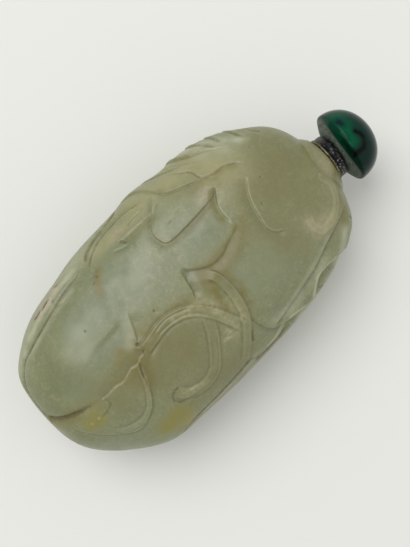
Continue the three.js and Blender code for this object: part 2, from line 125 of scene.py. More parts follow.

# Cut edges. The skin drops on the right of the path and climbs back over "reach"; it may rise
# a little on the left. "pale" is how strongly a pale line lies on the high side of the edge,
# partly rubbed wear and partly painted highlight; "dark" is how strongly its foot is darkened,
# partly brown stain and partly painted shade.
Edge = namedtuple("Edge", "path drop reach rise bevel pale dark foot fades",
                  defaults=(0, EDGE_BEVEL, 0.3, 0.6, 0.2, (0.12, 0.12)))
EDGES = [
    # leaf fan on the left shoulder, the lowest leaf first, each from the outline to its root
    Edge([(-9.2, 49), (-7.7, 58), (-5.7, 63), (-3.5, 66), (-1.5, 68), (0.8, 75)], 0.4, 1.3, pale=0.5,
         dark=1, fades=(0.1, 0.1)),
    Edge([(-8.5, 49), (-7, 55), (-4.9, 58.5), (-2.5, 59.3), (-0.6, 59.3)], -0.2, 1, pale=0.4, dark=0.3,
         fades=(0.1, 0.4)),
    Edge([(-9.1, 42.7), (-6.8, 50.5), (-3.4, 55.6), (0.7, 56.4), (3.5, 53.2), (5.4, 48)], -0.3, 1.3,
         pale=0.4, dark=0.9, foot=0.3, fades=(0.1, 0.3)),
    Edge([(-2.3, 41.5), (0.8, 41), (4.6, 40), (7, 44)], 0.18, 2.2, pale=0.2, dark=0.5),
    Edge([(-4.3, 40), (-3.1, 38), (-1.6, 36)], 0.1, 1, pale=0.2, dark=0.3),
    Edge([(7.2, 51), (5.6, 44), (3.7, 37), (2.4, 31), (2.2, 26), (3.2, 20.5), (6.4, 20), (11, 21),
         (13.1, 22), (14.6, 25)], 0.24, 1.8, foot=0.42, fades=(0.1, 0.05)),
    Edge([(-0.5, 90), (3.2, 79), (7, 56), (8.5, 44), (11.2, 39), (14.8, 34)], 0.2, 1.8, rise=0.12, pale=0.2,
         dark=0.4, fades=(0, 0.1)),
    Edge([(6.5, 88), (8.6, 70), (10.4, 63), (12.7, 56), (15.2, 50)], 0.12, 1.2, rise=0.06, dark=0.7,
         fades=(0, 0.45)),
    Edge([(11, 56), (12.6, 50), (14.1, 44), (14.8, 35), (16.5, 33), (18.3, 33), (19.7, 31), (21.3, 27)],
         0.18, 1.6, pale=0.4, dark=0.8, fades=(0.2, 0.1)),
    Edge([(12, 100), (12.9, 80), (14.7, 63), (16.2, 57), (17.8, 54), (19.5, 49), (21.5, 43), (23.7, 35)],
         0.2, 1.1, rise=0.24, dark=0.3, fades=(0, 0.5)),
    Edge([(16.8, 100), (17.4, 78), (19.2, 61), (19.9, 51), (20.5, 46)], 0.2, 1, rise=0.22, dark=0.8,
         fades=(0, 0.4)),
    Edge([(20.4, 100), (20.8, 76), (21.2, 67), (21.5, 56), (21.5, 48)], 0.2, 1, rise=0.12, dark=0.9,
         fades=(0, 0.25)),
    Edge([(23.4, 100), (23.9, 75), (24.4, 56), (25, 43)], 0.18, 1, rise=0.1, dark=0.9, fades=(0, 0.25)),
    Edge([(26.8, 60), (27, 52), (28, 47)], 0.15, 1),
    # lobes of the fruit where they meet under the stems
    Edge([(-22.3, -13.4), (-21.6, -13.5), (-19.3, -13), (-17.9, -13.7), (-16.8, -12.7), (-15.5, -11.4),
         (-14.2, -12.1), (-13.3, -10.5), (-12.1, -10.2), (-11.6, -8.5)], -0.24, 2.2, bevel=0.16, pale=0.9,
         dark=0.3, fades=(0.05, 0.2)),
    Edge([(-29, -15), (-28.9, -22), (-27.1, -34), (-25.4, -40), (-22, -45), (-18.2, -38), (-16.2, -30),
         (-14.9, -19), (-13.9, -11)], 0.22, 2, pale=0.5, dark=0.5, fades=(0.15, 0.1)),
    Edge([(-24.6, -22), (-23.4, -21), (-22.1, -19), (-22.2, -14)], 0.15, 1),
    Edge([(-0.5, -10), (0.2, -6), (0.7, 0), (1.2, 6.5)], 0.36, 1.7, dark=0.8, foot=0.3, fades=(0.3, 0.3)),
    Edge([(1.2, 7), (3.1, 1), (5.6, -3), (7.7, -3), (9.5, -1), (11.6, 1), (14.5, 4)], 0.26, 2.2, bevel=0.5,
         foot=0.35, fades=(0.1, 0.5)),
    Edge([(-21, 5), (-19.9, 6), (-18.3, 8), (-16.6, 9), (-14.7, 9), (-13.2, 9), (-11.5, 10), (-9.7, 11)],
         0.16, 4, bevel=1.1, pale=0, dark=0, fades=(0.35, 0.3)),
    Edge([(-11.9, -5), (-10.9, 0), (-10.3, 4), (-9.9, 7), (-9.3, 11)], 0.2, 3, rise=0.1, bevel=0.35,
         pale=0.6, dark=0.1, fades=(0.15, 0.5)),
    # calyx lines between the leaf fan and the neck
    Edge([(18.1, -19), (16.6, -15.5), (15.95, -10), (16.35, -4), (16.9, 3), (17.5, 8), (18.4, 13),
         (19.9, 19)], -0.3, 1.8, pale=0.65, dark=0.1, fades=(0.1, 0.1)),
    Edge([(12.5, 4), (12.5, 11), (12.8, 16), (13.6, 20), (14.9, 26)], -0.25, 1.5, pale=0.8, dark=0.15,
         fades=(0.2, 0.1)),
    # long leaf strips low on the right, and the foot of the body under them
    Edge([(5.2, -55), (7.3, -53.8), (10.3, -52.6), (12.6, -51), (17.2, -48.8), (22.8, -46.3), (26.8, -48.5),
         (29.5, -54)], 0.5, 2.6, pale=0.5, dark=0.8, fades=(0.1, 0.1)),
    Edge([(3.9, -38), (4.5, -49), (5.6, -56), (7.3, -60), (9.1, -62), (11, -64.5), (12.7, -69), (14, -69),
         (15.1, -63), (16.3, -58), (17.7, -56.5), (19.6, -58.5), (21.5, -64), (23.3, -71), (25.5, -88)],
         1.05, 3, rise=0.4, pale=1.3, dark=1.3, foot=0.4, fades=(0.25, 0.05)),
    Edge([(19.4, -64), (19.3, -72), (18.7, -80), (17, -84)], -0.3, 1.2, pale=0.5, dark=0.8),
    Edge([(-18, -80), (-16.2, -71.5), (-13, -67.5), (-9.6, -65.5), (-6, -63), (-2.3, -61), (0.3, -57.5)],
         0.32, 1.6, pale=0.4, dark=1.6, foot=0.34, fades=(0.1, 0.2)),
    Edge([(-0.6, -66), (1.5, -68.3), (4, -69), (6.4, -68.5), (8.5, -68)], 0.25, 1.4, pale=0.8, dark=1.8,
         foot=0.5, fades=(0.1, 0.35)),
]

# Flat raised bands: stems and tendrils, the lowest first.
Band = namedtuple("Band", "spine half lift pale dark fades finest",
                  defaults=(0.35, 0.5, (0.04, 0.04), FINEST))
BANDS = [
    Band([(-0.8, -19), (-2.2, -27.8), (-3.4, -33.4), (-4.8, -39.3), (-6.2, -44.6), (-8.3, -47.6),
         (-10.3, -47.3), (-12, -44), (-13, -38.5)], 0.95, 0.15, fades=(0.1, 0.06)),
    Band([(-12, -10), (-9.5, -8.5), (-6.5, -7.5), (-3.8, -9.5), (-1.6, -14), (0.2, -22), (1.5, -32),
         (2, -37)], 0.95, 0.17),
    Band([(3.6, -4.5), (4.3, -8), (4.6, -17), (4.3, -26), (3.3, -35), (1, -46), (-1.7, -57)], 0.8, 0.18,
         fades=(0.2, 0.04)),
    Band([(-14.2, -14), (-15.4, -23), (-16.7, -30), (-18.3, -36), (-20.7, -40), (-23.2, -39.5),
         (-24.8, -35)], 0.45, 0.06, pale=0.5, dark=0.3),
    Band([(22, -25), (21.8, -31), (22.8, -38.5), (25, -41), (27.5, -40), (29.2, -33), (29.4, -24),
         (28.7, -14)], 0.75, 0.14, pale=0.6, dark=0.1),
    Band([(29, 110), (22, 150), (12, 176), (-4, 200), (-18, 215), (-26, 240)], 1, 0.4, finest=0.35),
]

# Overlapping leaves of the back: spine from root to tip, half width, lift, tilt and vein.
LEAVES = [
    ([(26, -120), (14, -128), (2, -140), (-12, -158)], 4.2, 0.45, 0.1, 0.2),
    ([(26, 135), (14, 134), (0, 142), (-14, 156)], 4.4, 0.45, -0.1, 0.2),
]

# Soft valleys between the lobes of the fruit: path, depth, half width and fading ends.
VALLEYS = [
    ([(-31.2, 4), (-31.5, 13), (-31.6, 24), (-31.5, 36), (-31.2, 46), (-30.4, 51.5), (-28.2, 52.5),
     (-25.4, 48.4), (-22.4, 46.4), (-19.1, 46.4), (-16, 47.6), (-9.5, 48.8)], 0.28, 0.6, (0.3, 0.05)),
    ([(-31.5, 5), (-30.6, -3), (-28.3, -9), (-24.8, -12), (-22, -13)], 0.45, 0.7, (0.1, 0.8)),
    ([(-7.7, -11.5), (-11.7, -14), (-14.1, -23), (-15.3, -30), (-17.1, -38)], 0.18, 0.5),
    ([(-31.5, -120), (-20, -118), (-6, -122), (6, -118)], 0.4, 0.9),
    ([(-31, 100), (-24, 122), (-10, 130)], 0.4, 0.8),
]

# Broad swellings and hollows: place, height and spread.
SWELLS = [
    ((-10, -26), -0.3, 4.5), ((3, -22), -0.2, 3), ((-19, -82), 0.7, 4.5), ((-28, -62), -0.8, 5),
    ((5, -82), -0.12, 7), ((-16, 82), -0.45, 5), ((-30.5, 84), 0.55, 3.5), ((10.6, 84), -0.5, 2.5),
    ((27, 80), -0.4, 3), ((27.5, -78), 0.8, 3.8), ((18, 84), 0.3, 6), ((5, 78), 0.45, 4.5),
    ((-29.5, -22), 0.3, 3.5), ((-26.4, -23), 0.12, 0.35), ((-24.9, -22), 0.12, 0.35),
    ((-27.6, -27), 0.1, 0.4),
]

# Fine engraved lines: path, depth, half width, how dark and fading ends.
GROOVES = [
    ([(-31.2, 4), (-31.5, 13), (-31.6, 24), (-31.5, 36), (-31.2, 46), (-30.4, 51.5), (-28.2, 52.5),
     (-25.4, 48), (-22.4, 46), (-19.1, 46), (-16, 47.6), (-12.7, 48.2), (-9.5, 48.8)], 0.28, 0.26, 1,
     (0.1, 0.1)),
    ([(-31.5, 5), (-30.7, -3), (-29.4, -7), (-27.4, -10), (-24.8, -12), (-22.3, -13)], 0.3, 0.36, 1.6,
     (0.1, 0.4)),
    ([(-9, 35), (-9.1, 37), (-9.9, 39)], 0.08, 0.15, 0.8),
    ([(-9.8, 35), (-10.4, 35)], 0.08, 0.15, 0.8),
    ([(9, 30.5), (8, 30), (6.8, 29)], 0.05, 0.22, 0.4, (0.5, 0.5)),
    ([(6.5, 29), (5.6, 28.5), (4.5, 28)], 0.05, 0.22, 0.4, (0.5, 0.5)),
    ([(14.7, 26), (14.1, 23)], 0.06, 0.2, 0.5),
    ([(-2.4, 42), (-1.6, 38)], 0.3, 0.22, 1),
    ([(4.8, 64), (7.6, 50), (9.5, 45)], 0.06, 0.2, 0.35, (0.4, 0.4)),
    ([(10.5, 72), (13, 58), (15.5, 48), (18, 42)], 0.06, 0.2, 0.35, (0.4, 0.4)),
    ([(-0.8, 37), (-1, 34), (-1.5, 29)], 0.06, 0.25, 0.4, (0.5, 0.5)),
    ([(0.1, 45), (1.6, 47), (4.5, 47)], 0.12, 0.2, 0.6),
    ([(-17.9, 46), (-15.9, 42), (-14.6, 44)], 0.1, 0.18, 0.5),
    ([(-16, -24), (-17.3, -30), (-18.7, -35), (-20.7, -37), (-22.5, -37), (-24.2, -30)], 0.08, 0.16, 0.4),
    ([(-9.5, -7.5), (-6.2, -6), (-3.4, -8.5), (-1.1, -12.5)], 0.08, 0.16, 0.6),
    ([(-9.5, -9.5), (-7, -9), (-4, -10.5), (-1.9, -14.5), (0.2, -24)], 0.08, 0.16, 0.5),
    ([(3.2, -7), (3.8, -12), (3.8, -19), (3.2, -27)], 0.08, 0.16, 0.4),
    ([(4.6, -6), (5, -13), (4.9, -22)], 0.06, 0.16, 0.4),
    ([(-1.7, -28), (-2.9, -34), (-4.3, -40.3), (-5.9, -46), (-8, -49.5)], 0.06, 0.16, 0.4),
    ([(-2.5, -27), (-3.8, -33), (-5.2, -38.8), (-6.6, -43)], 0.06, 0.16, 0.3),
    ([(2.7, -43), (1.3, -51)], 0.25, 0.22, 1),
    ([(3.9, -36), (3.9, -43), (4.4, -49)], 0.14, 0.22, 0.8),
    ([(28.6, -80), (28.2, -70), (28, -62)], 0.35, 0.3, 1.2),
    ([(16, -71), (16.8, -76)], 0.2, 0.25, 1),
    ([(-17.9, 57), (-18.7, 57.5), (-19.4, 56)], 0.2, 0.3, 0.8),
    ([(-19.9, 58), (-20.9, 58), (-21.7, 59)], 0.2, 0.24, 1),
    ([(-15.6, 62), (-14.7, 59)], 0.12, 0.25, 0.7),
    ([(-12, -37), (-13.2, -37.5), (-14.2, -40), (-14.3, -43), (-13.5, -46), (-12, -47.5), (-10.4, -49)],
     0.12, 0.22, 1, (0.1, 0.2)),
    ([(3, -66), (1, -64.5), (-1.5, -64)], 0.12, 0.2, 0.6),
    ([(-13.7, -12.1), (-14.4, -15.8), (-14.9, -20.4)], 0.12, 0.2, 0.9),
]

# Small pits and chips: place, radius and depth.
PITS = [
    ((-17.2, 51.5), 0.5, 0.2), ((-12, -5), 0.45, 0.3), ((-6.3, 1), 0.3, 0.12), ((18.3, 1), 0.3, 0.1),
    ((21.3, 13), 0.25, 0.1), ((-16.5, 20), 0.3, 0.1),
]

# Colour laid on the stone, by tone: strength, half width and the places along it. Most of it is the stone's
# own colour; some tones also carry painted highlight and painted shade.
TONES = {
    # Hazy grey clouds in the stone; on the left lobe and beside the node some strokes are painted highlight
    # on lit facets.
    "misty_and_highlight": [
        (0.7, 5, [(0, 180), (10, 168)]), (0.3, 2.6, [(6, 35), (6, 25)]), (0.25, 5, [(7.7, 9)]),
        (0.6, 5, [(7, -20), (12, -25)]), (0.2, 4, [(-5, 32), (-7, 12)]),
        (0.5, 3, [(-21.4, -5), (-24.3, -2)]), (0.8, 3, [(-16.5, 22), (-18.5, 14)]),
        (0.4, 2.2, [(-10.9, 6), (-11.7, 1), (-12.8, -2)]), (0.5, 4, [(-26, -42), (-20, -52)]),
        (1, 0.8, [(1.9, 1), (1.7, -3)]), (0.6, 1.8, [(6, 46), (6, 36)]),
    ],
    "olive": [
        (0.7, 5, [(-17, 196), (-24, 180)]), (0.6, 4, [(20, 178), (27, 160)]), (0.8, 6, [(26, 12), (20, 4)]),
        (1, 5, [(-13, -17), (-7, -24)]), (0.7, 4.5, [(17, -6), (17, -22)]),
        (0.5, 3.5, [(-22, -8), (-20, -20)]), (0.6, 5.5, [(-8, -48), (-2, -61)]), (0.7, 5, [(24, -14)]),
        (1.2, 1.6, [(3, -5.5), (6, -6.5), (9.5, -5.5)]),
    ],
    "tan": [
        (0.6, 3.6, [(20, -128), (8, -133)]), (0.6, 3.6, [(20, 136), (6, 138)]),
        (0.8, 4.5, [(18, 32), (15, 48)]), (0.7, 3.5, [(10.5, 48), (4, 55)]),
        (0.6, 1.8, [(-6.5, 48.5), (-3, 49), (0, 48), (3, 46.5)]),
        (0.3, 3, [(25, -42), (29.5, -32), (30.5, -15)]),
    ],
    "brown": [
        (0.7, 0.9, [(28, 128), (22, 150), (12, 176), (-4, 200), (-18, 215)]),
        (0.5, 1.6, [(25, -112), (29, -125)]), (0.3, 0.8, [(-1.2, 38.5), (1, 38), (3.5, 37.5)]),
        (1.1, 0.9, [(-14.8, -2), (-13.6, -5), (-12.4, -8)]),
        (0.6, 2.2, [(-8, -3), (-12, -9), (-15, -14), (-18, -13)]),
        (0.6, 1.4, [(-11.5, -9), (-6, -7), (-2, -10), (0, -14)]),
        (0.55, 1.8, [(3.5, -4), (5, -12), (5, -22), (4, -32)]), (0.45, 2.4, [(1, -12), (1.5, -22)]),
        (0.8, 1.4, [(5.5, -5), (8, -5.5), (11, -5), (13, 0)]),
        (0.5, 0.6, [(4, 18.5), (8, 18.5), (13, 20), (15.5, 25)]),
        (0.8, 0.6, [(3.3, 2), (4.6, -2), (6.1, -2), (8, -1), (9.5, -1), (11, 0), (14, 3)]),
        (0.9, 1.6, [(3.5, -5), (3.2, -12), (2.6, -20), (2.2, -24)]),
        (0.75, 1.1, [(5.3, -5), (5.9, -14), (5.8, -22), (5.2, -30)]),
        (0.7, 0.8, [(-9.1, -4), (-6.5, -4), (-3.4, -5), (-0.4, -7)]),
        (0.9, 0.8, [(-10.2, 0), (-11.5, -7), (-12.8, -12), (-14.1, -18), (-15.1, -25)]),
        (0.5, 1.2, [(-16.4, -6), (-14.5, -4), (-13.1, -5)]),
        (0.6, 0.5, [(11.8, 10), (12.1, 15), (12.9, 20), (14, 26)]), (0.4, 1.4, [(12, 30), (16, 30)]),
        (0.5, 0.4, [(8, 47), (9.4, 41), (15, 33), (20, 30)]), (0.6, 0.7, [(14.4, 68), (16, 59)]),
        (1.1, 0.7, [(-8.3, 37.5), (-9.7, 32.5), (-10.6, 28)]),
        (0.8, 0.7, [(32.1, 20), (32.2, 5), (32, -14), (31.5, -27), (30.9, -33)]),
        (0.6, 1.2, [(29.5, -45), (27, -55)]),
        (0.4, 0.6, [(15.1, 32.3), (16.8, 31.1), (18.1, 30.5), (19.6, 28.3)]),
        (0.8, 1.2, [(-31.5, 4), (-30.2, -7), (-27.4, -10.5)]),
    ],
    # Darker green of the stone on the back; on the front, painted shade: the dark facet right of the broad
    # highlight on the left lobe, and darker patches on lit faces of the belly and the leaf tips.
    "deep_and_shade": [
        (0.5, 4, [(-12, 135), (-20, 120)]), (0.5, 4, [(-18, -112), (-8, -105)]),
        (1.2, 4, [(-11, 22), (-8, 30), (-5, 22)]), (1, 3, [(5, 10), (8, 12)]),
        (1.3, 1.3, [(-18.6, 3), (-16.6, 4.2), (-14, 4.4), (-12.2, 6)]), (0.5, 1.2, [(-18, 1), (-15, 1)]),
        (0.9, 1.7, [(-13, 31), (-16, 28), (-19, 26)]), (0.8, 1.6, [(-3.5, 37), (-2.8, 30)]),
        (0.6, 2.6, [(-23, 34), (-26, 16), (-24, 2)]), (0.6, 2.2, [(-14, 38), (-19, 34)]),
        (1.2, 0.6, [(-10, 36)]), (0.5, 1, [(-30, 40), (-30.5, 20), (-29, 2)]),
        (0.8, 1.6, [(-5.2, 39), (-2.3, 36.5), (0.9, 31.5)]),
    ],
    "quartz": [
        (0.8, 1, [(3, 160), (6, 157)]), (0.6, 1.1, [(0.7, -26), (1.2, -33), (0.6, -37)]),
        (1.2, 0.9, [(-0.6, -13), (0.7, -17), (0.9, -22)]), (0.9, 0.7, [(-5, -9), (-2.6, -12)]),
        (0.8, 1, [(3.5, -22), (3, -34)]), (0.7, 1.2, [(26, -40), (22.5, -38), (21.5, -30)]),
        (0.8, 0.6, [(-2.5, -15), (-1.2, -19)]), (0.8, 0.5, [(-8.5, -46), (-12, -45)]),
        (1.4, 0.4, [(-0.1, -33), (-0.3, -37), (-1.6, -36)]), (1.4, 0.4, [(-0.3, -15), (0.6, -19)]),
        (1.2, 0.35, [(-12.3, -41), (-11.4, -43), (-10, -44)]), (1.2, 0.4, [(-2.9, -10), (-1.1, -11)]),
    ],
    # Pale strips of the stone, most of them brightened as painted highlight: lit ridges and strips along
    # the lower outline, the lit strips of the left lobe, beside the broad highlight, and glints on the
    # knot.
    "pale_and_highlight": [
        (0.6, 1.1, [(6.7, -52), (10.5, -56), (14.6, -54), (19, -52)]),
        (1, 1, [(21.7, -81), (17.8, -83), (13.1, -82), (10, -78)]),
        (0.9, 0.28, [(0, -63), (2.2, -65.5), (4.5, -66), (7.5, -65.5)]),
        (0.5, 0.4, [(7, -52), (10, -50.5), (12.5, -49), (17, -46.8), (22.5, -44.3)]),
        (0.6, 2.2, [(18.5, 50), (21, 42)]), (0.35, 1.8, [(-18, 23), (-20.6, 17), (-19, 12)]),
        (0.3, 1.6, [(-4.6, 19), (-1, 24), (2, 32)]), (0.8, 0.22, [(-26.4, -23)]),
        (0.8, 0.2, [(-24.9, -22)]), (0.5, 2.4, [(-29, 60), (-24.4, 58), (-17, 59), (-8, 60)]),
        (1.05, 1, [(-27, 55), (-24.4, 53.5), (-19.1, 54), (-14.4, 55), (-11, 55)]),
        (0.55, 0.6, [(-26, 43.5), (-22.8, 42.4), (-19.6, 41.9), (-16.7, 42.7), (-13.4, 43)]),
        (0.6, 0.5, [(-12.5, -72), (-9.2, -70), (-5.5, -67.5), (-1.7, -65.5), (0.3, -63)]),
        (0.5, 0.9, [(-11.2, 5), (-12, 0), (-13, -3)]), (1, 0.9, [(25.7, -60), (23.5, -65), (21.8, -72)]),
        (0.8, 0.5, [(16.9, -50), (14.1, -52), (11.1, -53.5), (9, -55)]),
        (0.9, 1.3, [(15.3, 76), (17.3, 66), (19.6, 59), (21.8, 51.5), (24, 45)]),
        (1.7, 0.42, [(21.1, -62.2), (18.9, -57.7), (17.1, -55.8), (15.9, -57.9), (14.7, -63), (13.7, -69.8),
         (12.3, -68.3), (10.8, -63.6), (8.8, -61.2)]),
    ],
    # Dark lines at the foot of edges: brown stain in the cuts, and painted shade along the lower outline
    # where the body meets its shadow.
    "stain_and_shade": [
        (1.6, 0.3, [(-16.2, -73.5), (-13, -70), (-9.6, -68), (-6, -65.5), (-2.3, -63.5), (-0.8, -62)]),
        (1.6, 0.3, [(0, -71), (2, -72), (4, -72.5), (5.6, -72.5)]),
        (0.65, 0.45, [(3.2, 20), (6.4, 19.7), (11, 20.7), (13.1, 22), (14.6, 25)]),
        (0.5, 0.4, [(5, 38), (3.4, 35), (2.4, 29), (2.4, 24)]),
        (0.4, 0.25, [(26.8, -50.5), (22.6, -48.3), (17.2, -50.8), (12, -53), (7.3, -55.8)]),
        (1.6, 0.3, [(23.3, -72), (21.5, -65), (19.6, -59.5), (17.7, -57.5), (16.4, -59), (15.2, -64),
         (14, -70), (12.7, -70), (11, -65.3), (9, -63), (7, -60.8)]),
    ],
    "speck": [
        (0.9, 0.16, [(-12, -9.3), (-12.3, -11)]),
        (0.8, 0.12, [(-13.8, -12.6), (-14.5, -15.8), (-15, -19.5)]),
    ],
    "pink": [
        (0.35, 1.3, [(21.8, -27), (22.4, -34), (24, -36)]),
        (0.3, 1.2, [(31.7, 1), (30.7, -19), (29.7, -32)]),
        (0.6, 0.8, [(-15.5, 58), (-18, 54), (-20.5, 57)]), (0.35, 0.9, [(13.3, 28), (11.8, 25.5)]),
        (0.35, 0.8, [(-3.1, 46.5), (-0.9, 47.6)]),
    ],
    "rust": [
        (1, 0.3, [(-17.8, 57), (-18.7, 57.5), (-19.5, 56)]), (0.8, 0.25, [(-19.9, 58), (-21.6, 59)]),
        (0.5, 0.3, [(-15.6, 62), (-14.7, 59)]),
    ],
    "yellow": [
        (1, 1.8, [(-18.5, -56), (-15.5, -53), (-15.8, -66)]), (1, 1.1, [(-26.8, -23), (-25, -23)]),
        (0.5, 2.2, [(-25, -17)]),
    ],
}


def signed_power(value, power):
    return np.sign(value) * np.abs(value) ** power


def smooth(low, high, value):
    share = np.clip((value - low) / (high - low), 0, 1)
    return share * share * (3 - 2 * share)


def line(offset, middle, half):
    """The strength across a soft line: 1 at its middle, fading over its half width."""
    return np.exp(-((offset - middle) / half) ** 2)


def ease(along, fades=(0.12, 0.12)):
    """1 along most of a path, easing to 0 over the given shares of its length at its ends."""
    opening = smooth(0, max(fades[0], 1e-6), along)
    return opening * smooth(0, max(fades[1], 1e-6), 1 - along)


def girth_points(x, share, side, front):
    """Points of the bare pebble, from distance along, share of the full girth and turn."""
    norm = (np.abs(side) ** GIRTH_POWER + np.abs(front) ** GIRTH_POWER) ** (-1 / GIRTH_POWER)
    reach = share * norm
    depth = np.where(front > 0, FRONT_DEPTH, BACK_DEPTH)
    return np.stack([x, HALF_WIDTH * reach * side, AXIS_HEIGHT + depth * reach * front], -1)


def pebble_toward(direction):
    x, y, z = np.moveaxis(direction, -1, 0)
    round_part = np.hypot(y, z)
    norm = (np.abs(x) ** PLAN_POWER + round_part ** PLAN_POWER) ** (-1 / PLAN_POWER)
    turn = np.arctan2(y, z)
    return girth_points(HALF_LENGTH * x * norm, round_part * norm, np.sin(turn), np.cos(turn))


def pebble_at(places):
    x, turn = np.asarray(places, float).T
    share = np.maximum(0, 1 - np.abs(x / HALF_LENGTH) ** PLAN_POWER) ** (1 / PLAN_POWER)
    return girth_points(x, share, np.sin(np.radians(turn)), np.cos(np.radians(turn)))


def pebble_normals(points):
    along = points[..., 0] / HALF_LENGTH
    depth = np.where(points[..., 2] > AXIS_HEIGHT, FRONT_DEPTH, BACK_DEPTH)
    across = points[..., 1] / HALF_WIDTH
    up = (points[..., 2] - AXIS_HEIGHT) / depth
    share = (np.abs(across) ** GIRTH_POWER + np.abs(up) ** GIRTH_POWER) ** (1 / GIRTH_POWER)
    pull = np.maximum(share, 1e-9) ** (PLAN_POWER - GIRTH_POWER)
    normals = np.stack([
        signed_power(along, PLAN_POWER - 1) / HALF_LENGTH,
        pull * signed_power(across, GIRTH_POWER - 1) / HALF_WIDTH,
        pull * signed_power(up, GIRTH_POWER - 1) / depth,
    ], -1)
    return normals / np.linalg.norm(normals, axis=-1, keepdims=True)


def through(places):
    """A smooth curve through places: centripetal Catmull-Rom, with mirrored end points."""
    spots = np.asarray(places, float)
    spots = np.vstack([2 * spots[0] - spots[1], spots, 2 * spots[-1] - spots[-2]])
    gaps = np.sqrt(np.linalg.norm(np.diff(spots, axis=0), axis=1))
    curve = []
    for i in range(1, len(spots) - 2):
        before, start, end, after = spots[i - 1:i + 3]
        first, middle, last = gaps[i - 1:i + 2]
        pull_in = (start - before) / first - (end - before) / (first + middle)
        pull_out = (after - end) / last - (after - start) / (middle + last)
        slope_in = (pull_in + (end - start) / middle) * middle
        slope_out = (pull_out + (end - start) / middle) * middle
        t = np.linspace(0, 1, PATH_STEPS, endpoint=False)[:, None]
        curve.append(start + slope_in * t + (3 * (end - start) - 2 * slope_in - slope_out) * t ** 2
                     + (2 * (start - end) + slope_in + slope_out) * t ** 3)
    return np.vstack(curve + [spots[-2:-1]])


Near = namedtuple("Near", "which distance along side")


